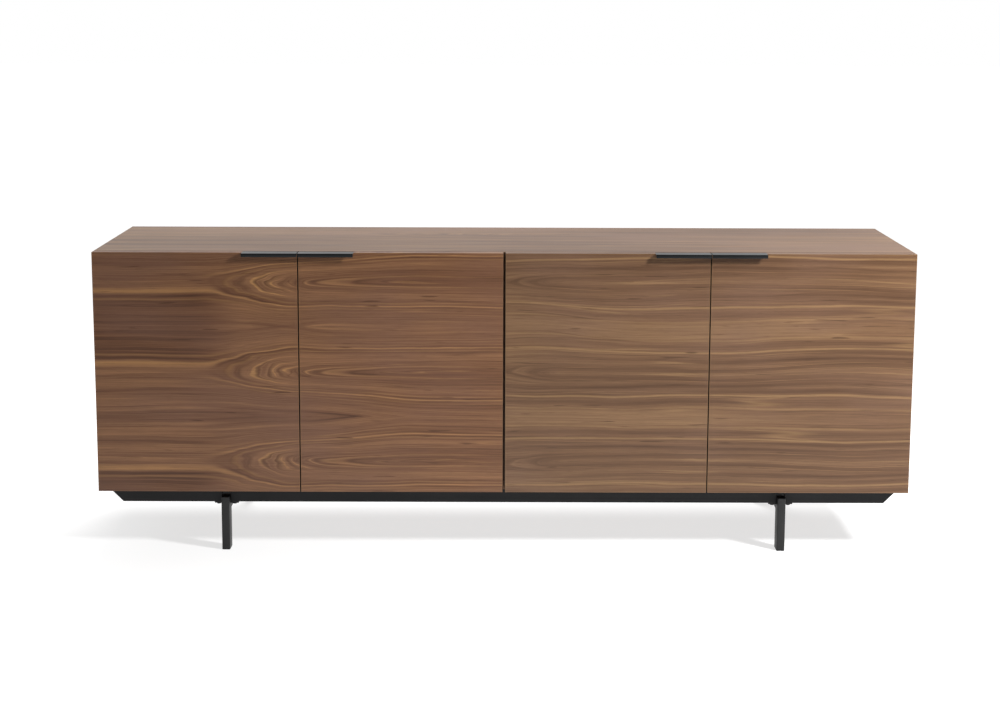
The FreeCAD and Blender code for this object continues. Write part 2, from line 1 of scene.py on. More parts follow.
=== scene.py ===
"""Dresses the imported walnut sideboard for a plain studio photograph.

The doors, the carcass boards, the shelves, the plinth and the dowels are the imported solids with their
finishes. The handles, the leg frames, the hinges, the screws, the shelf pins, the bumpers, the glides
and the back panel are modelled again in the same places, with true round and eased forms.
"""

import json
import logging
import math
from collections.abc import Callable, Sequence
from dataclasses import dataclass, replace
from enum import Enum
from typing import Union

import bpy
from mathutils import Matrix, Vector

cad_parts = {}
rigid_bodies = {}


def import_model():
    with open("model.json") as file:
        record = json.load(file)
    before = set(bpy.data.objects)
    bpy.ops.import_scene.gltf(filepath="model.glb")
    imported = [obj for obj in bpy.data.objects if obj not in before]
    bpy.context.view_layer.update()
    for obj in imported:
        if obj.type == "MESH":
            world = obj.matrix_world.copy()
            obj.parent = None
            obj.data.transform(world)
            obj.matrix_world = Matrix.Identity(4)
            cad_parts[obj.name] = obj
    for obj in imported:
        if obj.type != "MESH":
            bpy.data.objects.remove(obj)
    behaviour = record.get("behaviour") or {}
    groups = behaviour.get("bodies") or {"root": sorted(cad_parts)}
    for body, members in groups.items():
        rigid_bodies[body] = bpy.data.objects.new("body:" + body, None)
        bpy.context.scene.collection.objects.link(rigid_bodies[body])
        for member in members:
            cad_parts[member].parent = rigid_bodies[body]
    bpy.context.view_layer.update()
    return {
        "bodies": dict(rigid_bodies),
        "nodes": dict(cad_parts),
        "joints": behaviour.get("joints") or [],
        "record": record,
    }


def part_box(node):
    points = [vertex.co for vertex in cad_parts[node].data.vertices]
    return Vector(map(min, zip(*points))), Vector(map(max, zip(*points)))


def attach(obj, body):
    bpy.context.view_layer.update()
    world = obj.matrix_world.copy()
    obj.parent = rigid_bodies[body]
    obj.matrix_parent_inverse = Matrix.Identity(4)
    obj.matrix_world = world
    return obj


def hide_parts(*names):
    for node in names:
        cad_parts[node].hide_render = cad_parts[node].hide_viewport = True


LOG = logging.getLogger("sideboard")

MM = 0.001
NEAR = MM / 10
FACING = 0.9

Value = Union["Wire", float, tuple[float, ...]]
Colour = tuple[float, float, float, float]
Place = tuple[float, float, float]
Test = Callable[[Vector, Vector], bool]


class Axis(Enum):
    """An axis of the sideboard's own frame."""

    WIDTH = 0
    DEPTH = 1
    HEIGHT = 2


def facing(axis: Axis, way: int) -> Test:
    """Makes a test for the faces that look along an axis.

    Args:
        axis: The axis.
        way: 1 for faces that look up it, -1 for faces that look down it.

    Returns:
        The test, on a face's middle and its normal.
    """
    return lambda middle, normal: normal[axis.value] * way > FACING


class Door(Enum):
    """The four doors, from left to right, by the first words of their nodes' names."""

    LEFT_OUTER = "left_outer"
    LEFT_INNER = "left_inner"
    RIGHT_INNER = "right_inner"
    RIGHT_OUTER = "right_outer"

    @property
    def leaf(self) -> str:
        """The body that swings with the door."""
        return self.value + "_leaf"

    @property
    def panel(self) -> str:
        """The node of the door's board."""
        return self.value + "_door"


def paint(red: int, green: int, blue: int) -> Colour:
    """Turns a screen colour into the linear colour that a shader takes.

    Args:
        red: Red from 0 to 255.
        green: Green from 0 to 255.
        blue: Blue from 0 to 255.

    Returns:
        The linear colour with full alpha.
    """
    linear = [(part / 255 / 12.92) if part <= 10 else ((part / 255 + 0.055) / 1.055) ** 2.4
              for part in (red, green, blue)]
    return (linear[0], linear[1], linear[2], 1.0)


class Wire:
    """One output of a node, which can stand in a sum."""

    def __init__(self, shader: "Shader", socket: bpy.types.NodeSocket) -> None:
        """Keeps the socket and the shader that it belongs to."""
        self.shader = shader
        self.socket = socket

    def __add__(self, other: Value) -> "Wire":
        """Adds a value."""
        return self.shader.maths("ADD", self, other)

    def __radd__(self, other: Value) -> "Wire":
        """Is added to a value."""
        return self.shader.maths("ADD", other, self)

    def __sub__(self, other: Value) -> "Wire":
        """Takes a value away."""
        return self.shader.maths("SUBTRACT", self, other)

    def __rsub__(self, other: Value) -> "Wire":
        """Is taken from a value."""
        return self.shader.maths("SUBTRACT", other, self)

    def __mul__(self, other: Value) -> "Wire":
        """Multiplies by a value."""
        return self.shader.maths("MULTIPLY", self, other)

    def __rmul__(self, other: Value) -> "Wire":
        """Multiplies a value."""
        return self.shader.maths("MULTIPLY", other, self)

    def __truediv__(self, other: Value) -> "Wire":
        """Divides by a value."""
        return self.shader.maths("DIVIDE", self, other)

    def __abs__(self) -> "Wire":
        """Drops the sign."""
        return self.shader.maths("ABSOLUTE", self)


class Shader:
    """A node tree with one method that makes its nodes."""

    def __init__(self, tree: bpy.types.NodeTree) -> None:
        """Empties the tree."""
        self.tree = tree
        tree.nodes.clear()

    def node(self, kind: str, settings: dict[str, object] | None = None,
             inputs: dict[Union[str, int], Value] | None = None) -> bpy.types.Node:
        """Makes a node.

        Args:
            kind: Blender's name for the node.
            settings: The node's own settings, set first. Under "stops", a ramp's places and colours.
            inputs: What each socket gets, by its name or its number.

        Returns:
            The node.
        """
        made = self.tree.nodes.new(kind)
        for name, setting in (settings or {}).items():
            if name == "stops":
                self._set_stops(made.color_ramp, setting)
            else:
                setattr(made, name, setting)
        for key, value in (inputs or {}).items():
            if isinstance(value, Wire):
                self.tree.links.new(value.socket, made.inputs[key])
            else:
                made.inputs[key].default_value = value
        return made

    @staticmethod
    def _set_stops(ramp: bpy.types.ColorRamp, stops: Sequence[tuple[float, Colour]]) -> None:
        """Gives a ramp its stops, from the lowest place to the highest.

        Args:
            ramp: The ramp.
            stops: Places from 0 to 1, each with its colour.
        """
        while len(ramp.elements) < len(stops):
            ramp.elements.new(0.5)
        for element, (place, colour) in zip(ramp.elements, stops):
            element.position = place
            element.color = colour

    def out(self, made: bpy.types.Node, name: Union[str, int] = 0) -> Wire:
        """One of a node's outputs."""
        return Wire(self, made.outputs[name])

    def maths(self, operation: str, *values: Value) -> Wire:
        """One Math node's result."""
        made = self.node("ShaderNodeMath", {"operation": operation}, dict(enumerate(values)))
        return self.out(made)

    def vector(self, x: Value, y: Value, z: Value) -> Wire:
        """Three values as one vector."""
        return self.out(self.node("ShaderNodeCombineXYZ", None, {0: x, 1: y, 2: z}))

    def place(self) -> tuple[Wire, Wire, Wire]:
        """The place on the piece, in metres, as three values.

        Returns:
            The place along the width, the depth and the height.
        """
        coordinates = self.node("ShaderNodeTexCoord")
        split = self.node("ShaderNodeSeparateXYZ", None, {0: self.out(coordinates, "Object")})
        return self.out(split, 0), self.out(split, 1), self.out(split, 2)

    def noise(self, where: Wire, scale: float = 1.0, detail: float = 2.0, rough: float = 0.5) -> Wire:
        """Smooth noise from about 0.2 to 0.8.

        Args:
            where: The vector that it reads.
            scale: Cells to a unit of that vector.
            detail: How many finer layers are added.
            rough: How strong each finer layer is.

        Returns:
            The noise's value.
        """
        made = self.node("ShaderNodeTexNoise", {"noise_dimensions": "3D"},
                         {"Vector": where, "Scale": scale, "Detail": detail, "Roughness": rough})
        return self.out(made)

    def spread(self, value: Value, low: Value, high: Value, first: Value = 0.0, last: Value = 1.0,
               smooth: bool = False) -> Wire:
        """Maps one range onto another and stops at its ends.

        Args:
            value: What is mapped.
            low: The value that gives the first result.
            high: The value that gives the last result.
            first: The result at low.
            last: The result at high.
            smooth: Whether the result eases in and out.

        Returns:
            The mapped value.
        """
        shape = "SMOOTHSTEP" if smooth else "LINEAR"
        made = self.node("ShaderNodeMapRange", {"interpolation_type": shape, "clamp": True},
                         {0: value, 1: low, 2: high, 3: first, 4: last})
        return self.out(made)

    def blend(self, share: Value, first: Value, second: Value, kind: str = "MIX") -> Wire:
        """Mixes two colours.

        Args:
            share: How much of the second shows.
            first: The colour at 0.
            second: The colour at 1.
            kind: The way that they mix.

        Returns:
            The mixed colour.
        """
        made = self.node("ShaderNodeMix", {"data_type": "RGBA", "blend_type": kind},
                         {0: share, 6: first, 7: second})
        return self.out(made, 2)

    def ramp(self, value: Wire, stops: Sequence[tuple[float, Colour]]) -> Wire:
        """Reads a colour off a row of stops."""
        return self.out(self.node("ShaderNodeValToRGB", {"stops": stops}, {0: value}))

    def bump(self, height: Wire, distance: float, strength: float) -> Wire:
        """A normal that makes small relief from a height.

        Args:
            height: The relief, from 0 to 1.
            distance: How high 1 stands, in metres.
            strength: How much of it shows.

        Returns:
            The normal.
        """
        made = self.node("ShaderNodeBump", None,
                         {"Strength": strength, "Distance": distance, "Height": height})
        return self.out(made)

    def surface(self, **sockets: Value) -> None:
        """Ends the tree in a Principled surface; words in a socket's name are joined by underscores.

        Args:
            sockets: What each socket gets, by its name in small letters.
        """
        names = {name.replace("_", " ").title(): value for name, value in sockets.items()}
        fixed = {name.replace("Ior", "IOR"): value for name, value in names.items()}
        shade = self.node("ShaderNodeBsdfPrincipled", None, fixed)
        self.node("ShaderNodeOutputMaterial", None, {0: self.out(shade)})


def shaded(colour: Colour, share: float, lift: float = 0.0) -> Colour:
    """Makes a colour darker or lighter.

    Args:
        colour: The colour.
        share: What each part of it is multiplied by.
        lift: What is added after that.

    Returns:
        The new colour, with full alpha.
    """
    red, green, blue = (min(1.0, part * share + lift) for part in colour[:3])
    return (red, green, blue, 1.0)


class Finish:
    """What every finish shares: a name, and a way to build its material once."""

    name: str

    def build(self, shader: Shader) -> None:
        """Fills the material's node tree."""
        raise NotImplementedError

    def material(self) -> bpy.types.Material:
        """The finish's material, built the first time that it is asked for.

        Returns:
            The material.
        """
        found = bpy.data.materials.get(self.name)
        if found:
            return found
        made = bpy.data.materials.new(self.name)
        made.use_nodes = True
        self.build(Shader(made.node_tree))
        return made

    def dress(self, piece: bpy.types.Object) -> None:
        """Gives a piece this finish all over.

        Args:
            piece: The piece.
        """
        piece.data.materials.clear()
        piece.data.materials.append(self.material())
        LOG.info("dressed %s in %s", piece.name, self.name)


@dataclass(frozen=True)
class Arch:
    """A stretch along the grain over which the rings open round the heart of the trunk."""

    start: float
    end: float
    depth: float


@dataclass(frozen=True)
class Squeeze:
    """How much closer the rings lie on one flank, before and after a stretch along the grain."""

    start: float
    end: float
    first: float
    last: float


@dataclass(frozen=True)
class Palette:
    """The shades of one lot of veneer, from its darkest lines to its lightest, and its cloudy parts."""

    deep: Colour
    dark: Colour
    middle: Colour
    light: Colour
    gold: Colour
    dusk: Colour

    def row(self) -> tuple[Colour, ...]:
        """The shades from the darkest lines to the lightest."""
        return (self.deep, self.dark, self.middle, self.light, self.gold)


@dataclass(frozen=True)
class Layer:
    """A layer of noise in the veneer, by its cells to a metre in three directions, and where it shows.

    On a board the directions run along the grain, across it and through the board. On the rings they run
    along the grain and from ring to ring, and the third number is the layer's own place in the noise.
    None of it shows up to its low value, and its whole share does from its high value on.
    """

    along: float
    across: float
    third: float
    detail: float = 1.0
    rough: float = 0.5
    low: float = 0.0
    high: float = 1.0
    share: float = 1.0

    def on_board(self, shader: Shader, place: tuple[Wire, Wire, Wire], seed: float = 0.0) -> Wire:
        """Its noise at a place along the grain, across it and through the board.

        Args:
            shader: The material's nodes.
            place: The three places, in metres.
            seed: What tells this lot of veneer from others.

        Returns:
            The noise.
        """
        run, side, depth = place
        where = shader.vector(run * self.along, side * self.across + seed, depth * self.third)
        return shader.noise(where, 1.0, self.detail, self.rough)

    def on_rings(self, shader: Shader, ring: Wire, run: Wire, shift: Wire, seed: float) -> Wire:
        """Its noise on a ring at a place along the grain.

        Args:
            shader: The material's nodes.
            ring: The distance from the heart.
            run: The place along the grain.
            shift: What tells leaves and flanks apart.
            seed: What tells this lot of veneer from others.

        Returns:
            The noise.
        """
        where = shader.vector(ring * self.across, run * self.along + shift, seed + self.third)
        return shader.noise(where, 1.0, self.detail, self.rough)

    def shown(self, shader: Shader, noise: Wire) -> Wire:
        """How much of it shows."""
        return shader.spread(noise, self.low, self.high, 0.0, self.share)


@dataclass(frozen=True)
class Line:
    """A thin line along a ring: where the ring lies, how far the line fades out, and its strength."""

    place: float
    width: float
    share: float

    def shown(self, shader: Shader, value: Wire, smooth: bool = False) -> Wire:
        """How much of it shows at a distance from the heart, or at a value of a layer."""
        return shader.spread(abs(value - self.place), 0.0, self.width, self.share, 0.0, smooth=smooth)


RED_BROWN = Palette(paint(75, 47, 31), paint(100, 66, 45), paint(119, 83, 58), paint(137, 98, 68),
                    paint(166, 123, 79), paint(114, 82, 66))
OLIVE_BROWN = Palette(paint(73, 50, 34), paint(96, 69, 49), paint(114, 85, 61), paint(132, 102, 73),
                      paint(160, 126, 86), paint(116, 88, 71))


@dataclass(frozen=True)
class Walnut(Finish):
    """Satin-lacquered walnut veneer, in leaves that are laid as mirror images across the grain.

    Each leaf is cut flat through the trunk: its growth rings run straight at one end, open round the
    heart in nested arches, and run on along its flanks.
    """

    name: str = "walnut"
    along: Axis = Axis.WIDTH
    across: Axis = Axis.HEIGHT
    leaf_width: float = 0.2235
    leaf_edge: float = 0.566
    arches: tuple[Arch, ...] = (Arch(-0.735, -0.43, 0.049), Arch(-0.55, -0.12, 0.019))
    flanks: tuple[Squeeze, Squeeze] = (Squeeze(-0.55, -0.42, 1.0, 1.15),
                                       Squeeze(-0.5, -0.2, 1.35, 1.05))
    flank_line: float = 0.02
    flank_drift: float = 0.35
    leaf_drift: float = 0.07
    straight: tuple[float, float] = (-0.77, -0.63)
    gold_rings: tuple[tuple[float, float], ...] = ((0.071, 0.75), (0.0795, 0.3), (0.0625, 0.36),
                                                   (0.0155, 0.3))
    gold_width: float = 0.0026
    gold_flank: float = 0.006
    gold_fade: tuple[float, float] = (0.3, 0.5)
    gold_least: float = 0.45
    dark_rings: tuple[tuple[float, float], ...] = ((0.0565, 0.5), (0.0475, 0.6), (0.0405, 0.66),
                                                   (0.0335, 0.5), (0.0265, 0.5), (0.0185, 0.45),
                                                   (0.0115, 0.5))
    dark_width: float = 0.0021
    dark_fade: tuple[float, float] = (0.25, 0.5)
    dark_least: float = 0.5
    dark_heart: tuple[float, float] = (0.002, 0.008)
    dark_reach: float = 0.016
    open_heart: tuple[float, float] = (0.002, 0.012)
    deep_heart: tuple[float, float] = (0.046, 0.056)
    core_width: float = 0.022
    arcs: float = 1.15
    arc_lift: float = 0.1
    far_shade: float = 0.26
    far_flank: tuple[float, float] = (-0.026, -0.034)
    far_crests: float = 0.8
    wander: float = 0.010
    ripple: float = 0.0022
    slow_sway: float = 0.08
    kink_sway: float = 0.055
    contrast: float = 1.0
    gain: float = 2.7
    weights: tuple[float, float, float] = (0.28, 0.36, 0.36)
    slow: Layer = Layer(2.1, 5.0, 1.0)
    quick: Layer = Layer(9.0, 30.0, 3.0, 2.0)
    kinks: Layer = Layer(15.0, 48.0, 15.0)
    fibres: Layer = Layer(6.0, 420.0, 420.0, 3.0, 0.6, 0.3, 0.7)
    clouds: Layer = Layer(2.4, 6.0, 6.0, 2.0, low=0.48, high=0.68, share=0.55)
    pores: Layer = Layer(30.0, 1500.0, 1500.0, low=0.6, high=0.7)
    pore_share: float = 0.35
    flecks: Layer = Layer(14.0, 190.0, 190.0, 0.0, low=0.78, high=0.85, share=0.7)
    broad: Layer = Layer(0.7, 32.0, 0.0, 0.0)
    narrow: Layer = Layer(1.3, 115.0, 4.0)
    fine: Layer = Layer(3.0, 420.0, 8.0, 2.0, 0.6)
    nested: Layer = Layer(4.0, 330.0, 20.0, rough=0.55)
    crests: Layer = Layer(0.9, 60.0, 12.0, 0.0)
    fades: tuple[float, float] = (5.0, 40.0)
    crest_fade: tuple[float, float] = (0.4, 0.6)
    pale_crest: float = 0.59
    pale_share: float = 0.36
    crest_width: float = 0.022
    dark_crest: Line = Line(0.40, 0.03, 0.45)
    seed: float = 0.0
    rim: tuple[Place, Place] | None = None
    eased: float = 0.6 * MM
    # The next two: the width and the strength of a painted highlight, a light line just inside the
    # door's eased rim.
    rim_width: float = 1.6 * MM
    highlight_share: float = 0.4
    outer_edge: float = 1000.0 * MM
    # painted shade for the gaps between doors, which is also the dark colour of those edges when a door
    # stands open
    edge_and_gap_shade: Colour = paint(42, 29, 22)
    palette: Palette = RED_BROWN
    stops: tuple[float, ...] = (0.0, 0.3, 0.55, 0.82, 1.0)
    streaks: tuple[float, float] = (0.86, 1.13)
    roughness: tuple[float, float] = (0.40, 0.49)
    refraction: float = 1.46
    specular: float = 0.38
    pore_depth: float = 0.1 * MM
    relief: float = 0.3

    def build(self, shader: Shader) -> None:
        """Lays the leaves, then adds lines, fibres, pores, and on a door a painted highlight inside its
        eased rim and painted shade on its edges at the gaps.

        Args:
            shader: The material's nodes.
        """
        axes = shader.place()
        third = ({Axis.WIDTH, Axis.DEPTH, Axis.HEIGHT} - {self.along, self.across}).pop()
        place = axes[self.along.value], axes[self.across.value], axes[third.value]
        ring, heart, flank, leaf = self._rings(shader, place)
        tone, pale, shade = self._tones(shader, ring, heart, flank, leaf, place[0])
        fibre = self.fibres.on_board(shader, place)
        colour = shader.ramp(tone, list(zip(self.stops, self.palette.row())))
        cloud = self.clouds.on_board(shader, place, self.seed)
        colour = shader.blend(self.clouds.shown(shader, cloud), colour, self.palette.dusk)
        colour = shader.blend(pale, colour, self.palette.gold)
        colour = shader.blend(shade, colour, self.palette.deep)
        streak = shader.spread(fibre, self.fibres.low, self.fibres.high, *self.streaks)
        colour = shader.blend(1.0, colour, shader.vector(streak, streak, streak), "MULTIPLY")
        pores = self.pores.shown(shader, self.pores.on_board(shader, place))
        colour = shader.blend(pores * self.pore_share, colour, self.palette.deep)
        fleck = self.flecks.on_board(shader, place, self.seed)
        colour = shader.blend(self.flecks.shown(shader, fleck), colour, self.palette.deep)
        if self.rim:
            # painted highlight: a light gold line just inside the door's eased rim
            band = self._painted_rim_mask(shader, axes) * self.highlight_share
            colour = shader.blend(band, colour, self.palette.gold)
            # painted shade: the door's upright edges at the gaps, dark also when the door is open
            colour = shader.blend(self._dark_gap_mask(shader, axes), colour, self.edge_and_gap_shade)
        height = fibre * 0.5 - pores * 0.5 + 0.5
        rough = shader.spread(fibre, self.fibres.low, self.fibres.high, *self.roughness)
        shader.surface(base_color=colour, roughness=rough, ior=self.refraction,
                       specular_ior_level=self.specular,
                       normal=shader.bump(height, self.pore_depth, self.relief))

    def _rings(self, shader: Shader, place: tuple[Wire, Wire, Wire]) -> tuple[Wire, Wire, Wire, Wire]:
        """Works out how far each place lies from the trunk's heart.

        Args:
            shader: The material's nodes.
            place: The place along the grain, across it and through the board.

        Returns:
            The distance from the heart, the heart's depth, the place across the leaf, and its number.
        """
        run, side, _ = place
        slow = self.slow.on_board(shader, place, self.seed)
        quick = self.quick.on_board(shader, place, self.seed)
        moved = side + (slow - 0.5) * (2 * self.wander) + (quick - 0.5) * (2 * self.ripple)
        count = (moved - self.leaf_edge) / self.leaf_width
        leaf = shader.maths("FLOOR", count)
        turned = 1.0 - shader.maths("FLOORED_MODULO", leaf, 2.0) * 2.0
        flank = (count - leaf - 0.5) * turned * self.leaf_width
        first, last = (shader.spread(run, flat.start, flat.end, flat.first, flat.last, smooth=True)
                       for flat in self.flanks)
        share = shader.spread(flank, -self.flank_line, self.flank_line)
        leaning = flank * (first + (last - first) * share)
        kink = self.kinks.on_board(shader, place, self.seed)
        sway = (slow - 0.5) * self.slow_sway + (kink - 0.5) * self.kink_sway
        heart: Value = 0.0
        for arch in self.arches:
            heart = shader.spread(run + sway, arch.start, arch.end, arch.depth, 0.0, smooth=True) + heart
        ring = shader.maths("SQRT", leaning * leaning + heart * heart)
        return ring, heart, leaning, leaf

    def _tones(self, shader: Shader, ring: Wire, heart: Wire, flank: Wire, leaf: Wire,
               run: Wire) -> tuple[Wire, Wire, Wire]:
        """Turns rings into wide and narrow bands.

        Args:
            shader: The material's nodes.
            ring: The distance from the heart.
            heart: The heart's depth.
            flank: The place across the leaf, whose sign tells its two flanks apart.
            leaf: The number of the leaf.
            run: The place along the grain.

        Returns:
            The tone from 0 to 1, how much of the gold lines shows, and how much of the dark ones.
        """
        drift = leaf * self.leaf_drift + self.seed
        half = shader.spread(flank, -self.flank_line, self.flank_line, 0.0, self.flank_drift,
                             smooth=True)
        far = shader.spread(run, self.straight[0], self.straight[1], 1.0, 0.0, smooth=True)
        shift = drift + half
        bands = []
        for lines in (ring, flank):
            broad = self.broad.on_rings(shader, lines, run, shift, self.seed)
            narrow = self.narrow.on_rings(shader, lines, run, shift, self.seed)
            fine = self.fine.on_rings(shader, lines, run, drift, self.seed)
            bands.append(broad * self.weights[0] + narrow * self.weights[1] + fine * self.weights[2])
        mixed = bands[0] + (bands[1] - bands[0]) * far
        tone = 0.5 + (mixed - 0.5) * (self.gain * self.contrast)
        opened = shader.spread(heart, *self.open_heart)
        core = shader.spread(heart, *reversed(self.deep_heart)) * opened
        core = core * shader.spread(ring - heart, 0.0, self.core_width, 1.0, 0.0)
        arc = self.nested.on_rings(shader, ring, run, shift, self.seed)
        tone = tone + ((arc - 0.5) * self.arcs + self.arc_lift) * core
        tone = tone - far * shader.spread(flank, *self.far_flank) * self.far_shade
        crest = self.crests.on_rings(shader, ring, run, shift, self.seed)
        fade = shader.noise(shader.vector(run * self.fades[0], ring * self.fades[1], drift), detail=1.0)
        there = shader.spread(fade, *self.crest_fade) * (1.0 - far * self.far_crests)
        pale_crest = Line(self.pale_crest, self.crest_width, self.pale_share)
        pale = pale_crest.shown(shader, crest) * there
        one_side = shader.spread(flank, self.gold_flank, -self.gold_flank)
        seen = (shader.spread(fade, *self.gold_fade, self.gold_least, 1.0)
                * shader.maths("MAXIMUM", 1.0 - far, one_side))
        for place, share in self.gold_rings:
            named = Line(place, self.gold_width, share).shown(shader, ring, smooth=True)
            pale = shader.maths("MAXIMUM", pale, named * seen)
        closed = (shader.spread(ring - heart, 0.0, self.dark_reach, 1.0, 0.0)
                  * shader.spread(heart, *self.dark_heart))
        faint = closed * shader.spread(fade, *self.dark_fade, self.dark_least, 1.0)
        shade = self.dark_crest.shown(shader, crest) * shader.spread(fade, *reversed(self.crest_fade))
        for place, share in self.dark_rings:
            named = Line(place, self.dark_width, share).shown(shader, ring, smooth=True)
            shade = shader.maths("MAXIMUM", shade, named * faint)
        return tone, pale, shade

    def _painted_rim_mask(self, shader: Shader, axes: tuple[Wire, Wire, Wire]) -> Wire:
        """A mask of a painted highlight: a thin light line on the front, just inside the eased rim of
        the board's four edges.

        Args:
            shader: The material's nodes.
            axes: The place on the piece.

        Returns:
            The mask.
        """
        low, high = self.rim
        gaps = [axes[0] - low[0], high[0] - axes[0], axes[2] - low[2], high[2] - axes[2]]
        nearest = gaps[0]
        for gap in gaps[1:]:
            nearest = shader.maths("MINIMUM", nearest, gap)
        inside = shader.spread(nearest, self.eased, self.eased * 1.2)
        return inside * shader.spread(nearest, self.rim_width * 0.7, self.rim_width, 1.0, 0.0)

    def _dark_gap_mask(self, shader: Shader, axes: tuple[Wire, Wire, Wire]) -> Wire:
        """A mask of painted shade in the gaps between doors: the board's upright edges that face another
        door, with their eased corners, which also keep this dark colour when the door is open.

        Args:
            shader: The material's nodes.
            axes: The place on the piece.

        Returns:
            The mask.
        """
        low, high = self.rim
        nearest = shader.maths("MINIMUM", axes[0] - low[0], high[0] - axes[0])
        edge = shader.spread(nearest, self.eased, self.eased * 1.2, 1.0, 0.0)
        inner = shader.spread(abs(axes[0]), self.outer_edge - MM, self.outer_edge - MM / 2, 1.0, 0.0)
        return edge * inner


@dataclass(frozen=True)
class Powder(Finish):
    """Powder coat or lacquer in one colour, with the fine orange peel that it dries to."""

    name: str
    colour: Colour
    roughness: float
    grain: float = 1400.0
    specular: float = 0.3
    depth: float = 0.03 * MM
    strength: float = 0.3
    clouds: float = 9.0
    worn: tuple[float, float] = (1.25, 0.004)
    spread: float = 0.04

    def build(self, shader: Shader) -> None:
        """Mixes two close shades over a fine peel.

        Args:
            shader: The material's nodes.
        """
        x, y, z = shader.place()
        where = shader.vector(x, y, z)
        peel = shader.noise(where, self.grain, 2.0, 0.5)
        cloud = shader.noise(where, self.clouds, 2.0, 0.5)
        colour = shader.blend(shader.spread(cloud, 0.35, 0.7, 0.0, 0.5), self.colour,
                              shaded(self.colour, *self.worn))
        rough = shader.spread(peel, 0.3, 0.7, self.roughness - self.spread, self.roughness + self.spread)
        shader.surface(base_color=colour, roughness=rough, specular_ior_level=self.specular,
                       normal=shader.bump(peel, self.depth, self.strength))


@dataclass(frozen=True)
class Plated(Finish):
    """Plated steel with faint drawing marks."""

    name: str
    colour: Colour
    roughness: float
    across: float = 2600.0
    along: float = 160.0
    dull: float = 0.8
    spread: tuple[float, float] = (-0.06, 0.1)
    depth: float = 0.01 * MM
    strength: float = 0.25

    def build(self, shader: Shader) -> None:
        """Draws fine marks through the height of the piece.

        Args:
            shader: The material's nodes.
        """
        x, y, z = shader.place()
        where = shader.vector(x * self.across, y * self.across, z * self.along)
        marks = shader.noise(where, 1.0, 2.0, 0.6)
        rough = shader.spread(marks, 0.3, 0.7, *(self.roughness + part for part in self.spread))
        colour = shader.blend(shader.spread(marks, 0.45, 0.75, 0.0, 0.6), self.colour,
                              shaded(self.colour, self.dull))
        shader.surface(base_color=colour, metallic=1.0, roughness=rough,
                       normal=shader.bump(marks, self.depth, self.strength))


@dataclass(frozen=True)
class Moulded(Finish):
    """Moulded plastic or soft rubber."""

    name: str
    colour: Colour
    roughness: float
    grain: float = 2200.0
    deeper: float = 0.85
    depth: float = 0.02 * MM
    strength: float = 0.3

    def build(self, shader: Shader) -> None:
        """Gives an even colour a fine spark texture.

        Args:
            shader: The material's nodes.
        """
        spark = shader.noise(shader.vector(*shader.place()), self.grain, 2.0, 0.5)
        colour = shader.blend(shader.spread(spark, 0.35, 0.65), self.colour,
                              shaded(self.colour, self.deeper))
        shader.surface(base_color=colour, roughness=self.roughness,
                       normal=shader.bump(spark, self.depth, self.strength))


@dataclass(frozen=True)
class Beech(Finish):
    """Plain pale beech, as dowels are made of."""

    name: str = "beech"
    colour: Colour = paint(206, 172, 132)
    fleck: Colour = paint(160, 118, 82)
    across: float = 900.0
    along: float = 60.0
    roughness: float = 0.6
    depth: float = 0.05 * MM
    strength: float = 0.3

    def build(self, shader: Shader) -> None:
        """Scatters short flecks along the height.

        Args:
            shader: The material's nodes.
        """
        x, y, z = shader.place()
        where = shader.vector(x * self.across, y * self.across, z * self.along)
        flecks = shader.noise(where, 1.0, 2.0, 0.5)
        colour = shader.blend(shader.spread(flecks, 0.52, 0.66), self.colour, self.fleck)
        shader.surface(base_color=colour, roughness=self.roughness,
                       normal=shader.bump(flecks, self.depth, self.strength))


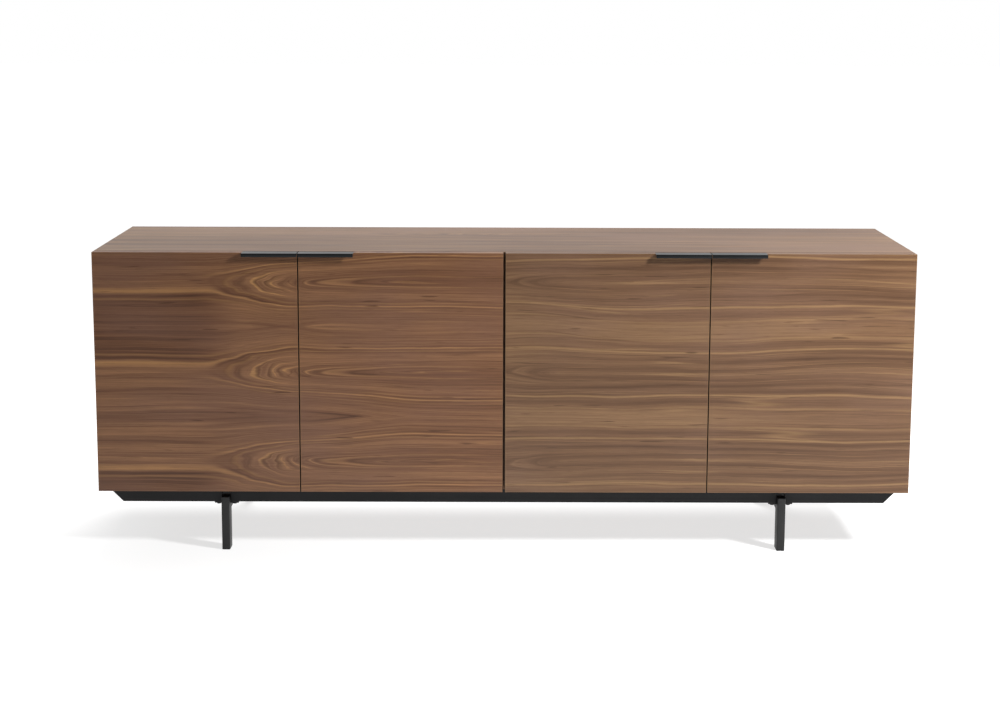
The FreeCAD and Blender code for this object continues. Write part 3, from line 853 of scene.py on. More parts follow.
class Bench:
    """Small steps of hand modelling, each on one piece."""

    ROUND = 28
    BEND_ANGLE = math.radians(35)
    EASE_ANGLE = math.radians(40)
    EASE_STEPS = 2

    @staticmethod
    def clear() -> None:
        """Leaves edit mode and lets go of everything."""
        if bpy.context.object and bpy.context.object.mode != "OBJECT":
            bpy.ops.object.mode_set(mode="OBJECT")
        bpy.ops.object.select_all(action="DESELECT")

    @classmethod
    def hold(cls, piece: bpy.types.Object) -> None:
        """Selects one piece alone.

        Args:
            piece: The piece.
        """
        cls.clear()
        piece.select_set(True)
        bpy.context.view_layer.objects.active = piece

    @classmethod
    def block(cls, name: str, low: Place, high: Place) -> bpy.types.Object:
        """Adds a cube between two corners.

        Args:
            name: The piece's name.
            low: Its lowest corner, in metres.
            high: Its highest corner, in metres.

        Returns:
            The piece, with its place in its mesh.
        """
        cls.clear()
        middle = [(a + b) / 2 for a, b in zip(low, high)]
        size = [b - a for a, b in zip(low, high)]
        bpy.ops.mesh.primitive_cube_add(size=1, location=middle)
        piece = bpy.context.object
        piece.scale = size
        return cls.settle(piece, name)

    @classmethod
    def settle(cls, piece: bpy.types.Object, name: str) -> bpy.types.Object:
        """Names a piece and puts its place, turn and size into its mesh.

        Args:
            piece: The piece.
            name: Its name.

        Returns:
            The same piece.
        """
        cls.hold(piece)
        bpy.ops.object.transform_apply(location=True, rotation=True, scale=True)
        piece.name = name
        piece.data.name = name
        return piece

    @staticmethod
    def leave() -> None:
        """Leaves edit mode."""
        bpy.ops.object.mode_set(mode="OBJECT")

    @staticmethod
    def draw(by: Place) -> None:
        """Extrudes what is picked by a distance, in edit mode."""
        bpy.ops.mesh.extrude_region_move(TRANSFORM_OT_translate={"value": by})

    @classmethod
    def _unpick(cls, piece: bpy.types.Object, kind: str) -> None:
        """Lets go of the whole of a piece, before picks of one kind.

        Args:
            piece: The piece.
            kind: FACE or EDGE.
        """
        cls.hold(piece)
        bpy.ops.object.mode_set(mode="EDIT")
        bpy.ops.mesh.select_mode(type=kind)
        bpy.ops.mesh.select_all(action="DESELECT")
        cls.leave()

    @classmethod
    def pick_faces(cls, piece: bpy.types.Object, chosen: Test) -> None:
        """Selects the faces that a test on their middle and normal picks, and enters edit mode.

        Args:
            piece: The piece.
            chosen: The test.
        """
        cls._unpick(piece, "FACE")
        for face in piece.data.polygons:
            face.select = chosen(face.center, face.normal)
        bpy.ops.object.mode_set(mode="EDIT")

    @classmethod
    def pick_edges(cls, piece: bpy.types.Object, chosen: Test) -> None:
        """Selects the edges that a test on their two ends picks, and enters edit mode.

        Args:
            piece: The piece.
            chosen: The test.
        """
        cls._unpick(piece, "EDGE")
        places = piece.data.vertices
        for edge in piece.data.edges:
            edge.select = chosen(places[edge.vertices[0]].co, places[edge.vertices[1]].co)
        bpy.ops.object.mode_set(mode="EDIT")

    @classmethod
    def extrude(cls, piece: bpy.types.Object, chosen: Test, by: Place) -> None:
        """Draws the picked faces out by a distance.

        Args:
            piece: The piece.
            chosen: The test that picks them.
            by: How far, along each axis.
        """
        cls.pick_faces(piece, chosen)
        cls.draw(by)
        cls.leave()

    @classmethod
    def round_edges(cls, piece: bpy.types.Object, chosen: Test, radius: float, steps: int = 4) -> None:
        """Rounds the picked edges.

        Args:
            piece: The piece.
            chosen: The test that picks them.
            radius: The radius of the round, in metres.
            steps: How many faces go round it.
        """
        cls.pick_edges(piece, chosen)
        bpy.ops.mesh.bevel(offset=radius, segments=steps, affect="EDGES")
        cls.leave()

    @classmethod
    def smooth(cls, piece: bpy.types.Object) -> None:
        """Shades gentle bends smooth and keeps sharp edges sharp."""
        cls.hold(piece)
        bpy.ops.object.shade_smooth_by_angle(angle=cls.BEND_ANGLE)

    @classmethod
    def soften(cls, piece: bpy.types.Object, radius: float) -> None:
        """Eases every sharp edge a little with a Bevel modifier, which is applied.

        Args:
            piece: The piece.
            radius: The width of the eased edge, in metres.
        """
        cls.hold(piece)
        ease = piece.modifiers.new("ease", "BEVEL")
        ease.width = radius
        ease.segments = cls.EASE_STEPS
        ease.limit_method = "ANGLE"
        ease.angle_limit = cls.EASE_ANGLE
        ease.harden_normals = False
        bpy.ops.object.modifier_apply(modifier=ease.name)

    @classmethod
    def rod(cls, name: str, radius: float, start: Place, end: Place, sides: int = 32,
            ease: float = 0.0) -> bpy.types.Object:
        """Adds a round bar between two points and eases its ends.

        Args:
            name: The piece's name.
            radius: The bar's radius, in metres.
            start: The middle of one end.
            end: The middle of the other.
            sides: How many flats go round it.
            ease: The radius at its two rims.

        Returns:
            The bar.
        """
        cls.clear()
        first, last = Vector(start), Vector(end)
        way = last - first
        bpy.ops.mesh.primitive_cylinder_add(vertices=sides, radius=radius, depth=way.length,
                                            location=(first + last) / 2,
                                            rotation=way.to_track_quat("Z", "Y").to_euler())
        bar = cls.settle(bpy.context.object, name)
        if ease:
            flat = way.normalized()
            cls.round_edges(bar, lambda a, b: abs((a - b).dot(flat)) < radius / 50, ease, 3)
        return bar

    @classmethod
    def cut(cls, piece: bpy.types.Object, cutter: bpy.types.Object) -> None:
        """Cuts one piece out of another and clears the cutter away.

        Args:
            piece: The piece that is cut.
            cutter: What is cut out of it.
        """
        cls.hold(piece)
        made = piece.modifiers.new("cut", "BOOLEAN")
        made.operation = "DIFFERENCE"
        made.solver = "EXACT"
        made.object = cutter
        bpy.ops.object.modifier_apply(modifier=made.name)
        bpy.data.objects.remove(cutter)

    @classmethod
    def stamp(cls, master: bpy.types.Object, places: Sequence[Matrix], name: str) -> bpy.types.Object:
        """Sets a copy of a finished piece at each place.

        Args:
            master: The piece, modelled once. It is cleared away.
            places: Where each copy goes; a mirrored place gets its faces turned outwards again.
            name: The name of the group.

        Returns:
            The copies as one piece.
        """
        copies = []
        for place in places:
            made = master.copy()
            made.data = master.data.copy()
            bpy.context.scene.collection.objects.link(made)
            made.data.transform(place)
            if place.determinant() < 0:
                made.data.flip_normals()
            copies.append(made)
        bpy.data.objects.remove(master)
        return cls.join(copies, name)

    @classmethod
    def join(cls, pieces: Sequence[bpy.types.Object], name: str) -> bpy.types.Object:
        """Makes one piece of several.

        Args:
            pieces: The pieces.
            name: The name of the whole.

        Returns:
            The first piece, with the others in it.
        """
        cls.clear()
        for piece in pieces:
            piece.select_set(True)
        bpy.context.view_layer.objects.active = pieces[0]
        if len(pieces) > 1:
            bpy.ops.object.join()
        pieces[0].name = name
        pieces[0].data.name = name
        return pieces[0]


def fit(piece: bpy.types.Object, node: str, body: str, finish: Finish) -> None:
    """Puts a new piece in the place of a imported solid.

    Args:
        piece: The new piece.
        node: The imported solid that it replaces.
        body: The body that it moves with.
        finish: What it is finished in.
    """
    finish.dress(piece)
    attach(piece, body)
    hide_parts(node)
    LOG.info("fitted %s in place of %s", piece.name, node)


@dataclass
class Studio:
    """A white floor and sky, a soft lamp from the right, one from behind and above, and the camera."""

    camera_place: Place = (-0.0185, -4.0868, 1.3572)
    camera_pitch: float = 7.809
    camera_yaw: float = 0.107
    camera_roll: float = 0.190
    focal_pixels: float = 1618.1
    picture_width: float = 1000.0
    sensor_width: float = 36.0
    shift: float = -0.135
    floor_size: float = 60.0
    sky_strength: float = 0.07
    floor_glow: float = 0.72
    far_glow: float = 1.0
    footprint: tuple[float, float] = (0.78, 0.2)
    far_reach: float = 0.75
    floor_colour: Colour = (0.5, 0.5, 0.5, 1.0)
    floor_bounce: Colour = (0.7, 0.7, 0.7, 1.0)
    strip_glow: float = 1.65
    strip_middle: float = -0.7
    strip_reach: float = 0.55
    strip_ends: tuple[float, float] = (1.3, 2.2)
    dim_front: float = 0.12
    dim_start: float = -1.0
    dim_end: float = -3.2
    sky_turn: tuple[float, float] = (-0.25, 0.1)
    key_place: Place = (2.3, -1.42, 2.1)
    key_aim: Place = (0.2, -0.1, 0.35)
    key_size: float = 0.45
    key_power: float = 122.0
    fill_place: Place = (-0.4, 1.7, 2.0)
    fill_aim: Place = (-0.2, 0.1, 0.6)
    fill_size: float = 1.4
    fill_power: float = 56.0

    def build(self) -> None:
        """Sets the floor, the sky, the lamps and the camera."""
        bpy.context.scene.view_settings.view_transform = "Standard"
        self._floor()
        self._sky()
        self._lamp("key", self.key_place, self.key_aim, self.key_size, self.key_power)
        self._lamp("fill", self.fill_place, self.fill_aim, self.fill_size, self.fill_power)
        self._camera()

    def _seen(self, shader: Shader) -> Wire:
        """Is 1 for what the camera sees straight on, in a reflection or through glass.

        Args:
            shader: The material's nodes.

        Returns:
            The mask.
        """
        path = shader.node("ShaderNodeLightPath")
        seen = shader.out(path, "Is Camera Ray") + shader.out(path, "Is Glossy Ray")
        return shader.maths("MINIMUM", seen + shader.out(path, "Is Transmission Ray"), 1.0)

    def _floor(self) -> None:
        """Lays the floor, white to the eye, with the object's shadow on it and painted shade round the
        cabinet, where its glow is lower.
        """
        Bench.clear()
        bpy.ops.mesh.primitive_plane_add(size=self.floor_size)
        floor = Bench.settle(bpy.context.object, "studio_floor")
        made = bpy.data.materials.new("studio_floor")
        made.use_nodes = True
        shader = Shader(made.node_tree)
        x, y, _ = shader.place()
        # painted shade: the floor's glow is lowest under and round the cabinet's footprint and rises to
        # full white further off
        beside = shader.maths("MAXIMUM", abs(x) - self.footprint[0], 0.0)
        behind = shader.maths("MAXIMUM", abs(y) - self.footprint[1], 0.0)
        reach = shader.maths("SQRT", beside * beside + behind * behind)
        glowing = shader.spread(reach, 0.0, self.far_reach, self.floor_glow, self.far_glow, smooth=True)
        path = shader.node("ShaderNodeLightPath")
        lit = shader.spread(y, self.dim_end, self.dim_start, self.dim_front, 1.0)
        lit = shader.maths("MAXIMUM", lit, shader.out(path, "Is Camera Ray"))
        matte = shader.node("ShaderNodeBsdfDiffuse", None, {"Color": self.floor_colour})
        glow = shader.node("ShaderNodeEmission", None, {"Strength": glowing * lit})
        shown = shader.node("ShaderNodeAddShader", None, {0: shader.out(matte), 1: shader.out(glow)})
        strip = shader.spread(abs(y - self.strip_middle), 0.0, self.strip_reach, self.strip_glow, 0.0,
                              smooth=True)
        strip = strip * shader.spread(abs(x), *self.strip_ends, 1.0, 0.0, smooth=True)
        pale = shader.node("ShaderNodeBsdfDiffuse", None, {"Color": self.floor_bounce})
        warm = shader.node("ShaderNodeEmission", None, {"Strength": strip})
        bounce = shader.node("ShaderNodeAddShader", None, {0: shader.out(pale), 1: shader.out(warm)})
        mixed = shader.node("ShaderNodeMixShader", None,
                            {0: self._seen(shader), 1: shader.out(bounce), 2: shader.out(shown)})
        shader.node("ShaderNodeOutputMaterial", None, {0: shader.out(mixed)})
        floor.data.materials.append(made)

    def _sky(self) -> None:
        """Makes the world white to the eye and softer as a light."""
        world = bpy.data.worlds.new("studio_sky")
        bpy.context.scene.world = world
        world.use_nodes = True
        shader = Shader(world.node_tree)
        way = shader.node("ShaderNodeSeparateXYZ", None,
                          {0: shader.out(shader.node("ShaderNodeTexCoord"), "Generated")})
        path = shader.node("ShaderNodeLightPath")
        lit = shader.spread(shader.out(way, 1), *self.sky_turn, self.dim_front, 1.0)
        lit = shader.maths("MAXIMUM", lit, shader.out(path, "Is Camera Ray"))
        strength = shader.spread(self._seen(shader), 0.0, 1.0, self.sky_strength, lit)
        sky = shader.node("ShaderNodeBackground", None, {"Color": (1, 1, 1, 1), "Strength": strength})
        shader.node("ShaderNodeOutputWorld", None, {0: shader.out(sky)})

    def _lamp(self, name: str, place: Place, aim: Place, size: float, power: float) -> None:
        """Hangs a soft round lamp that isn't seen in reflections.

        Args:
            name: The lamp's name.
            place: Where it hangs.
            aim: What it points at.
            size: Its width.
            power: Its power, in watts.
        """
        lamp = bpy.data.lights.new(name, "AREA")
        lamp.shape = "DISK"
        lamp.size = size
        lamp.energy = power
        held = bpy.data.objects.new(name, lamp)
        bpy.context.scene.collection.objects.link(held)
        held.location = place
        held.visible_glossy = False
        way = Vector(aim) - Vector(place)
        held.rotation_euler = way.to_track_quat("-Z", "Y").to_euler()

    def _camera(self) -> None:
        """Stands the camera where the photograph was taken from."""
        pitch, yaw, roll = (math.radians(part) for part in
                            (self.camera_pitch, self.camera_yaw, self.camera_roll))
        forward = Vector((math.sin(yaw) * math.cos(pitch), math.cos(yaw) * math.cos(pitch),
                          -math.sin(pitch)))
        right = Vector((math.cos(yaw), -math.sin(yaw), 0))
        up = right.cross(forward)
        turned_right = right * math.cos(roll) + up * math.sin(roll)
        turned_up = up * math.cos(roll) - right * math.sin(roll)
        turn = Matrix((turned_right, turned_up, -forward)).transposed().to_4x4()
        data = bpy.data.cameras.new("camera")
        data.sensor_fit = "HORIZONTAL"
        data.sensor_width = self.sensor_width
        data.lens = self.focal_pixels / self.picture_width * self.sensor_width
        data.shift_y = self.shift
        camera = bpy.data.objects.new("camera", data)
        bpy.context.scene.collection.objects.link(camera)
        camera.matrix_world = Matrix.Translation(self.camera_place) @ turn
        bpy.context.scene.camera = camera


EVEN = Squeeze(0.0, 1.0, 1.0, 1.0)
PLAIN = Walnut(straight=(-9.0, -8.0), flanks=(EVEN, EVEN), far_shade=0.0)


@dataclass
class Boards:
    """The walnut boards and the plinth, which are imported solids, and the veneer of the remade back."""

    charcoal: Powder = Powder("charcoal_lacquer", paint(35, 35, 36), 0.55, 700.0, specular=0.2)
    left_sheet: Walnut = Walnut()
    right_sheet: Walnut = replace(PLAIN, arches=(Arch(-0.05, 0.2, 0.022),),
                                  gold_rings=((0.058, 0.5), (0.089, 0.35)), gold_width=0.0042,
                                  arcs=0.8, wander=0.021, ripple=0.0021, contrast=0.7,
                                  weights=(0.38, 0.36, 0.26), crest_width=0.032, seed=2.7,
                                  palette=OLIVE_BROWN)
    top_sheet: Walnut = replace(PLAIN, name="walnut_top", across=Axis.DEPTH, leaf_width=0.31,
                                leaf_edge=-0.36, arches=(Arch(-0.5, 0.1, 0.05), Arch(-0.1, 0.4, 0.02)),
                                gold_rings=((0.088, 0.4),), arcs=0.8, contrast=1.2, seed=3.1,
                                palette=OLIVE_BROWN)
    side_sheet: Walnut = replace(PLAIN, name="walnut_sides", along=Axis.HEIGHT, across=Axis.DEPTH,
                                 leaf_width=0.3, leaf_edge=-0.25,
                                 arches=(Arch(0.1, 0.45, 0.05), Arch(0.3, 0.6, 0.02)),
                                 gold_rings=((0.082, 0.5),), arcs=1.2, seed=5.3)
    inside_sheet: Walnut = replace(PLAIN, name="walnut_inside", across=Axis.DEPTH, leaf_width=0.3,
                                   leaf_edge=-0.4, arcs=1.0, seed=7.7,
                                   arches=(Arch(-0.6, -0.1, 0.05), Arch(-0.3, 0.1, 0.02)))
    back_sheet: Walnut = replace(PLAIN, name="walnut_back", leaf_width=0.29, leaf_edge=0.1,
                                 arches=(Arch(-0.4, 0.1, 0.05), Arch(-0.1, 0.4, 0.02)),
                                 arcs=1.0, seed=9.4)

    def build(self, nodes: dict[str, bpy.types.Object]) -> None:
        """Dresses each board in veneer that runs the way that it does on the real one.

        Args:
            nodes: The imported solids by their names.
        """
        for door in Door:
            low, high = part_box(door.panel)
            sheet = self.left_sheet if door in (Door.LEFT_OUTER, Door.LEFT_INNER) else self.right_sheet
            veneer = replace(sheet, name="walnut_" + door.panel, rim=(tuple(low), tuple(high)))
            veneer.dress(nodes[door.panel])
        choices = {self.top_sheet: ("top_panel",),
                   self.side_sheet: ("left_side_panel", "right_side_panel", "centre_partition"),
                   self.inside_sheet: ("bottom_panel", "left_shelf", "right_shelf"),
                   self.charcoal: ("plinth_front_rail", "plinth_back_rail", "plinth_left_end",
                                   "plinth_right_end")}
        for finish, group in choices.items():
            for node in group:
                finish.dress(nodes[node])


@dataclass
class Handles:
    """The four bent strips on the doors' top edges."""

    metal: float = 2.5 * MM
    lip_height: float = 9.0 * MM
    tab_height: float = 20.0 * MM
    bend_radius: float = 1.7 * MM
    ease: float = 0.25 * MM
    finish: Powder = Powder("handle_coat", paint(14, 16, 18), 0.36, 1500.0, specular=0.3)

    def build(self) -> None:
        """Makes a strip for each door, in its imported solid's place."""
        for door in Door:
            node = door.panel + "_handle"
            strip = self._strip(node + "_strip", *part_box(node))
            fit(strip, node, door.leaf, self.finish)

    def _strip(self, name: str, low: Vector, high: Vector) -> bpy.types.Object:
        """Starts from the flat flange and folds a lip down in front and a tab down behind.

        Args:
            name: The strip's name.
            low: The lowest corner of its box.
            high: The highest corner of its box.

        Returns:
            The strip.
        """
        metal, near = self.metal, self.metal / 9
        strip = Bench.block(name, (low.x, low.y + metal, high.z - metal),
                            (high.x, high.y - metal, high.z))
        for edge, way in ((low.y + metal, -1), (high.y - metal, 1)):
            Bench.extrude(strip, lambda c, n, e=edge: abs(c.y - e) < near, (0, way * metal, 0))
        down = facing(Axis.HEIGHT, -1)
        for height, y in ((self.lip_height, low.y + metal / 2), (self.tab_height, high.y - metal / 2)):
            Bench.extrude(strip, lambda c, n, y=y: down(c, n) and abs(c.y - y) < near,
                          (0, 0, metal - height))
        top = high.z - near
        outer = (low.y + near, high.y - near)
        Bench.round_edges(strip, lambda a, b: min(a.z, b.z) > top and abs(a.y - b.y) < near
                          and not outer[0] < a.y < outer[1], self.bend_radius, 6)
        Bench.soften(strip, self.ease)
        Bench.smooth(strip)
        return strip


@dataclass
class LegFrames:
    """The two steel frames that the cabinet stands on."""

    tube_width: float = 20.0 * MM
    tube_depth: float = 35.0 * MM
    corner: float = 2.2 * MM
    plate: float = 4.0 * MM
    plate_length: float = 40.0 * MM
    plate_corner: float = 1.0 * MM
    plate_reach: float = 20.0 * MM
    plate_inset: float = 2.0 * MM
    plate_ease: float = 0.3 * MM
    wall: float = 2.0 * MM
    post_ease: float = 0.35 * MM
    stub_ease: float = 0.5 * MM
    stub_inset: float = 2.0 * MM
    stub_depth: float = 14.0 * MM
    stub_top: float = 152.8 * MM
    finish: Powder = Powder("leg_coat", paint(44, 44, 44), 0.5, 1100.0, specular=0.25)

    def build(self) -> None:
        """Makes both frames from round-cornered tube."""
        for side in ("left", "right"):
            node = side + "_leg_frame"
            frame = self._frame(node + "_tube", *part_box(node))
            fit(frame, node, "carcass", self.finish)

    def _frame(self, name: str, low: Vector, high: Vector) -> bpy.types.Object:
        """Builds two posts, the beam between them, four plates and the stubs in the notches.

        Args:
            name: The frame's name.
            low: The lowest corner of its box.
            high: The highest corner of its box.

        Returns:
            The frame.
        """
        middle = (low.x + high.x) / 2
        half = self.tube_width / 2
        pieces = []
        for y in (low.y, high.y - self.tube_depth):
            pieces.append(self._post(name, middle, y, low.z, high.z))
        beam = Bench.block(name, (middle - half, low.y + self.tube_depth, high.z - self.tube_depth),
                           (middle + half, high.y - self.tube_depth, high.z))
        Bench.round_edges(beam, lambda a, b: abs(a.y - b.y) > self.tube_depth, self.corner)
        pieces.append(beam)
        rail_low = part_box("plinth_front_rail")[0]
        rail_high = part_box("plinth_back_rail")[1]
        for y0 in (rail_low.y + self.plate_inset,
                   rail_high.y - self.plate_inset - self.plate_length):
            for way in (-1, 1):
                near = middle + way * half
                far = near + way * self.plate_reach
                ends = sorted((near, far))
                plate = Bench.block(name, (ends[0], y0, rail_low.z - self.plate),
                                    (ends[1], y0 + self.plate_length, rail_low.z))
                Bench.round_edges(plate, lambda a, b, f=far: abs(a.z - b.z) > self.plate / 2
                                  and abs(a.x - f) < MM, self.plate_corner)
                Bench.soften(plate, self.plate_ease)
                pieces.append(plate)
        for y0 in (rail_low.y + self.stub_inset, rail_high.y - self.stub_inset - self.stub_depth):
            stub = Bench.block(name, (middle - half, y0, high.z - 2 * self.wall),
                               (middle + half, y0 + self.stub_depth, self.stub_top))
            Bench.soften(stub, self.stub_ease)
            pieces.append(stub)
        frame = Bench.join(pieces, name)
        Bench.smooth(frame)
        return frame

    def _post(self, name: str, middle: float, front: float, foot: float, top: float) -> bpy.types.Object:
        """Makes an upright of the frame, with its mouth open below for the glide.

        Args:
            name: The post's name.
            middle: Its middle along the width.
            front: Its front face.
            foot: Its lower end.
            top: Its upper end.

        Returns:
            The post.
        """
        half = self.tube_width / 2
        post = Bench.block(name, (middle - half, front, foot),
                           (middle + half, front + self.tube_depth, top))
        Bench.round_edges(post, lambda a, b: abs(a.z - b.z) > self.tube_width, self.corner)
        Bench.pick_faces(post, facing(Axis.HEIGHT, -1))
        bpy.ops.mesh.inset(thickness=self.wall)
        Bench.draw((0, 0, top - foot - 2 * self.wall))
        Bench.leave()
        Bench.soften(post, self.post_ease)
        return post


NICKEL = Plated("nickel_plate", paint(206, 203, 196), 0.26)
ZINC = Plated("zinc_plate", paint(196, 198, 200), 0.34)
BLACK = Powder("black_screw", paint(30, 30, 31), 0.4)


@dataclass(frozen=True)
class Screw:
    """A screw, upright: its seat is at height 0 and its shank runs down."""

    head_radius: float
    head_depth: float
    shank_radius: float
    length: float
    proud: bool = False
    socket_sides: int = 0
    slot_width: float = 0.9 * MM
    slot_reach: float = 0.62
    slot_depth: float = 0.6
    dome: float = 0.55
    tip: float = 0.35
    stand: float = 0.03 * MM

    def build(self, name: str) -> bpy.types.Object:
        """Turns the head and the shank, and sinks the drive into the head.

        Args:
            name: The screw's name.

        Returns:
            The screw.
        """
        screw = self._proud(name) if self.proud else self._flush(name)
        top = self.head_depth if self.proud else 0.0
        depth = self.head_depth * self.slot_depth
        reach = self.head_radius * self.slot_reach
        low, high = top - depth, top + self.head_depth
        if self.socket_sides:
            Bench.cut(screw, Bench.rod("socket", reach, (0, 0, low), (0, 0, high), self.socket_sides))
        else:
            half = self.slot_width / 2
            for x, y in ((reach, half), (half, reach)):
                Bench.cut(screw, Bench.block("slot", (-x, -y, low), (x, y, high)))
        Bench.smooth(screw)
        return screw

    def _flush(self, name: str) -> bpy.types.Object:
        """Makes a countersunk head that narrows to the shank, which ends in a point.

        Args:
            name: The screw's name.

        Returns:
            The screw, without its drive.
        """
        Bench.clear()
        bpy.ops.mesh.primitive_cone_add(vertices=Bench.ROUND, radius1=self.shank_radius,
                                        radius2=self.head_radius, depth=self.head_depth,
                                        location=(0, 0, -self.head_depth / 2))
        screw = Bench.settle(bpy.context.object, name)
        if self.stand:
            Bench.extrude(screw, facing(Axis.HEIGHT, 1), (0, 0, self.stand))
        self._shank(screw, -self.head_depth, self.length - self.head_depth)
        return screw

    def _proud(self, name: str) -> bpy.types.Object:
        """Makes a domed head that stands on its seat, over the shank.

        Args:
            name: The screw's name.

        Returns:
            The screw, without its drive.
        """
        screw = Bench.rod(name, self.head_radius, (0, 0, 0), (0, 0, self.head_depth), Bench.ROUND)
        top = self.head_depth
        Bench.round_edges(screw, lambda a, b: min(a.z, b.z) > top * FACING, top * self.dome, 5)
        Bench.pick_faces(screw, facing(Axis.HEIGHT, -1))
        bpy.ops.mesh.inset(thickness=self.head_radius - self.shank_radius)
        Bench.leave()
        self._shank(screw, 0.0, self.length)
        return screw

    def _shank(self, screw: bpy.types.Object, seat: float, length: float) -> None:
        """Draws the shank down from the small face at its seat, and tapers its end.

        Args:
            screw: The screw's head.
            seat: The height that the shank starts from.
            length: The shank's length, with its point.
        """
        point = self.shank_radius
        down = facing(Axis.HEIGHT, -1)
        Bench.pick_faces(screw, lambda c, n: down(c, n) and abs(c.z - seat) < MM / 100
                         and Vector((c.x, c.y)).length < point / 2)
        Bench.draw((0, 0, point - length))
        Bench.draw((0, 0, -point))
        bpy.ops.transform.resize(value=(self.tip, self.tip, 1), center_override=(0, 0, seat - length))
        Bench.leave()


def seat_at(place: Place, way: Place) -> Matrix:
    """Where an upright screw goes to sit at a place with its shank along a direction."""
    turn = Vector(way).to_track_quat("-Z", "Y").to_matrix().to_4x4()
    return Matrix.Translation(place) @ turn


@dataclass
class Hanging:
    """How one door hangs: its hinge edge, the way that it runs from there, and its hinges' heights."""

    door: Door
    edge: float
    way: int
    board_face: float
    front: float
    base: float
    heights: tuple[float, float]

    def spots(self) -> list[Matrix]:
        """Moves from a hinge's own plan, drawn about the hinge edge, to each hinge of the door."""
        return [self._move(height) for height in self.heights]

    def foot(self) -> Matrix:
        """The move from the door's own plan to its place, from the bottom of its hinge edge."""
        return self._move(self.base)

    def _move(self, height: float) -> Matrix:
        """The move for one height; a door that runs to the left is mirrored."""
        return Matrix.Translation((self.edge, self.front, height)) @ Matrix.Diagonal((self.way, 1, 1, 1))


@dataclass
class Doorway:
    """The sizes that the doors and their fittings are set out from, in plan about each hinge edge."""

    half_width: float = 1000.0 * MM
    half_gap: float = 2.5 * MM
    side_face: float = 22.0 * MM
    middle_face: float = 8.5 * MM
    hinge_inset: float = 100.0 * MM

    def hangings(self) -> list[Hanging]:
        """How each of the four doors hangs.

        Returns:
            One for each door, from left to right.
        """
        edges = {Door.LEFT_OUTER: (-self.half_width, 1, self.side_face),
                 Door.LEFT_INNER: (-self.half_gap, -1, self.middle_face),
                 Door.RIGHT_INNER: (self.half_gap, 1, self.middle_face),
                 Door.RIGHT_OUTER: (self.half_width, -1, self.side_face)}
        found = []
        for door, (edge, way, face) in edges.items():
            low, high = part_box(door.panel)
            heights = (low.z + self.hinge_inset, high.z - self.hinge_inset)
            found.append(Hanging(door, edge, way, face, low.y, low.z, heights))
        return found


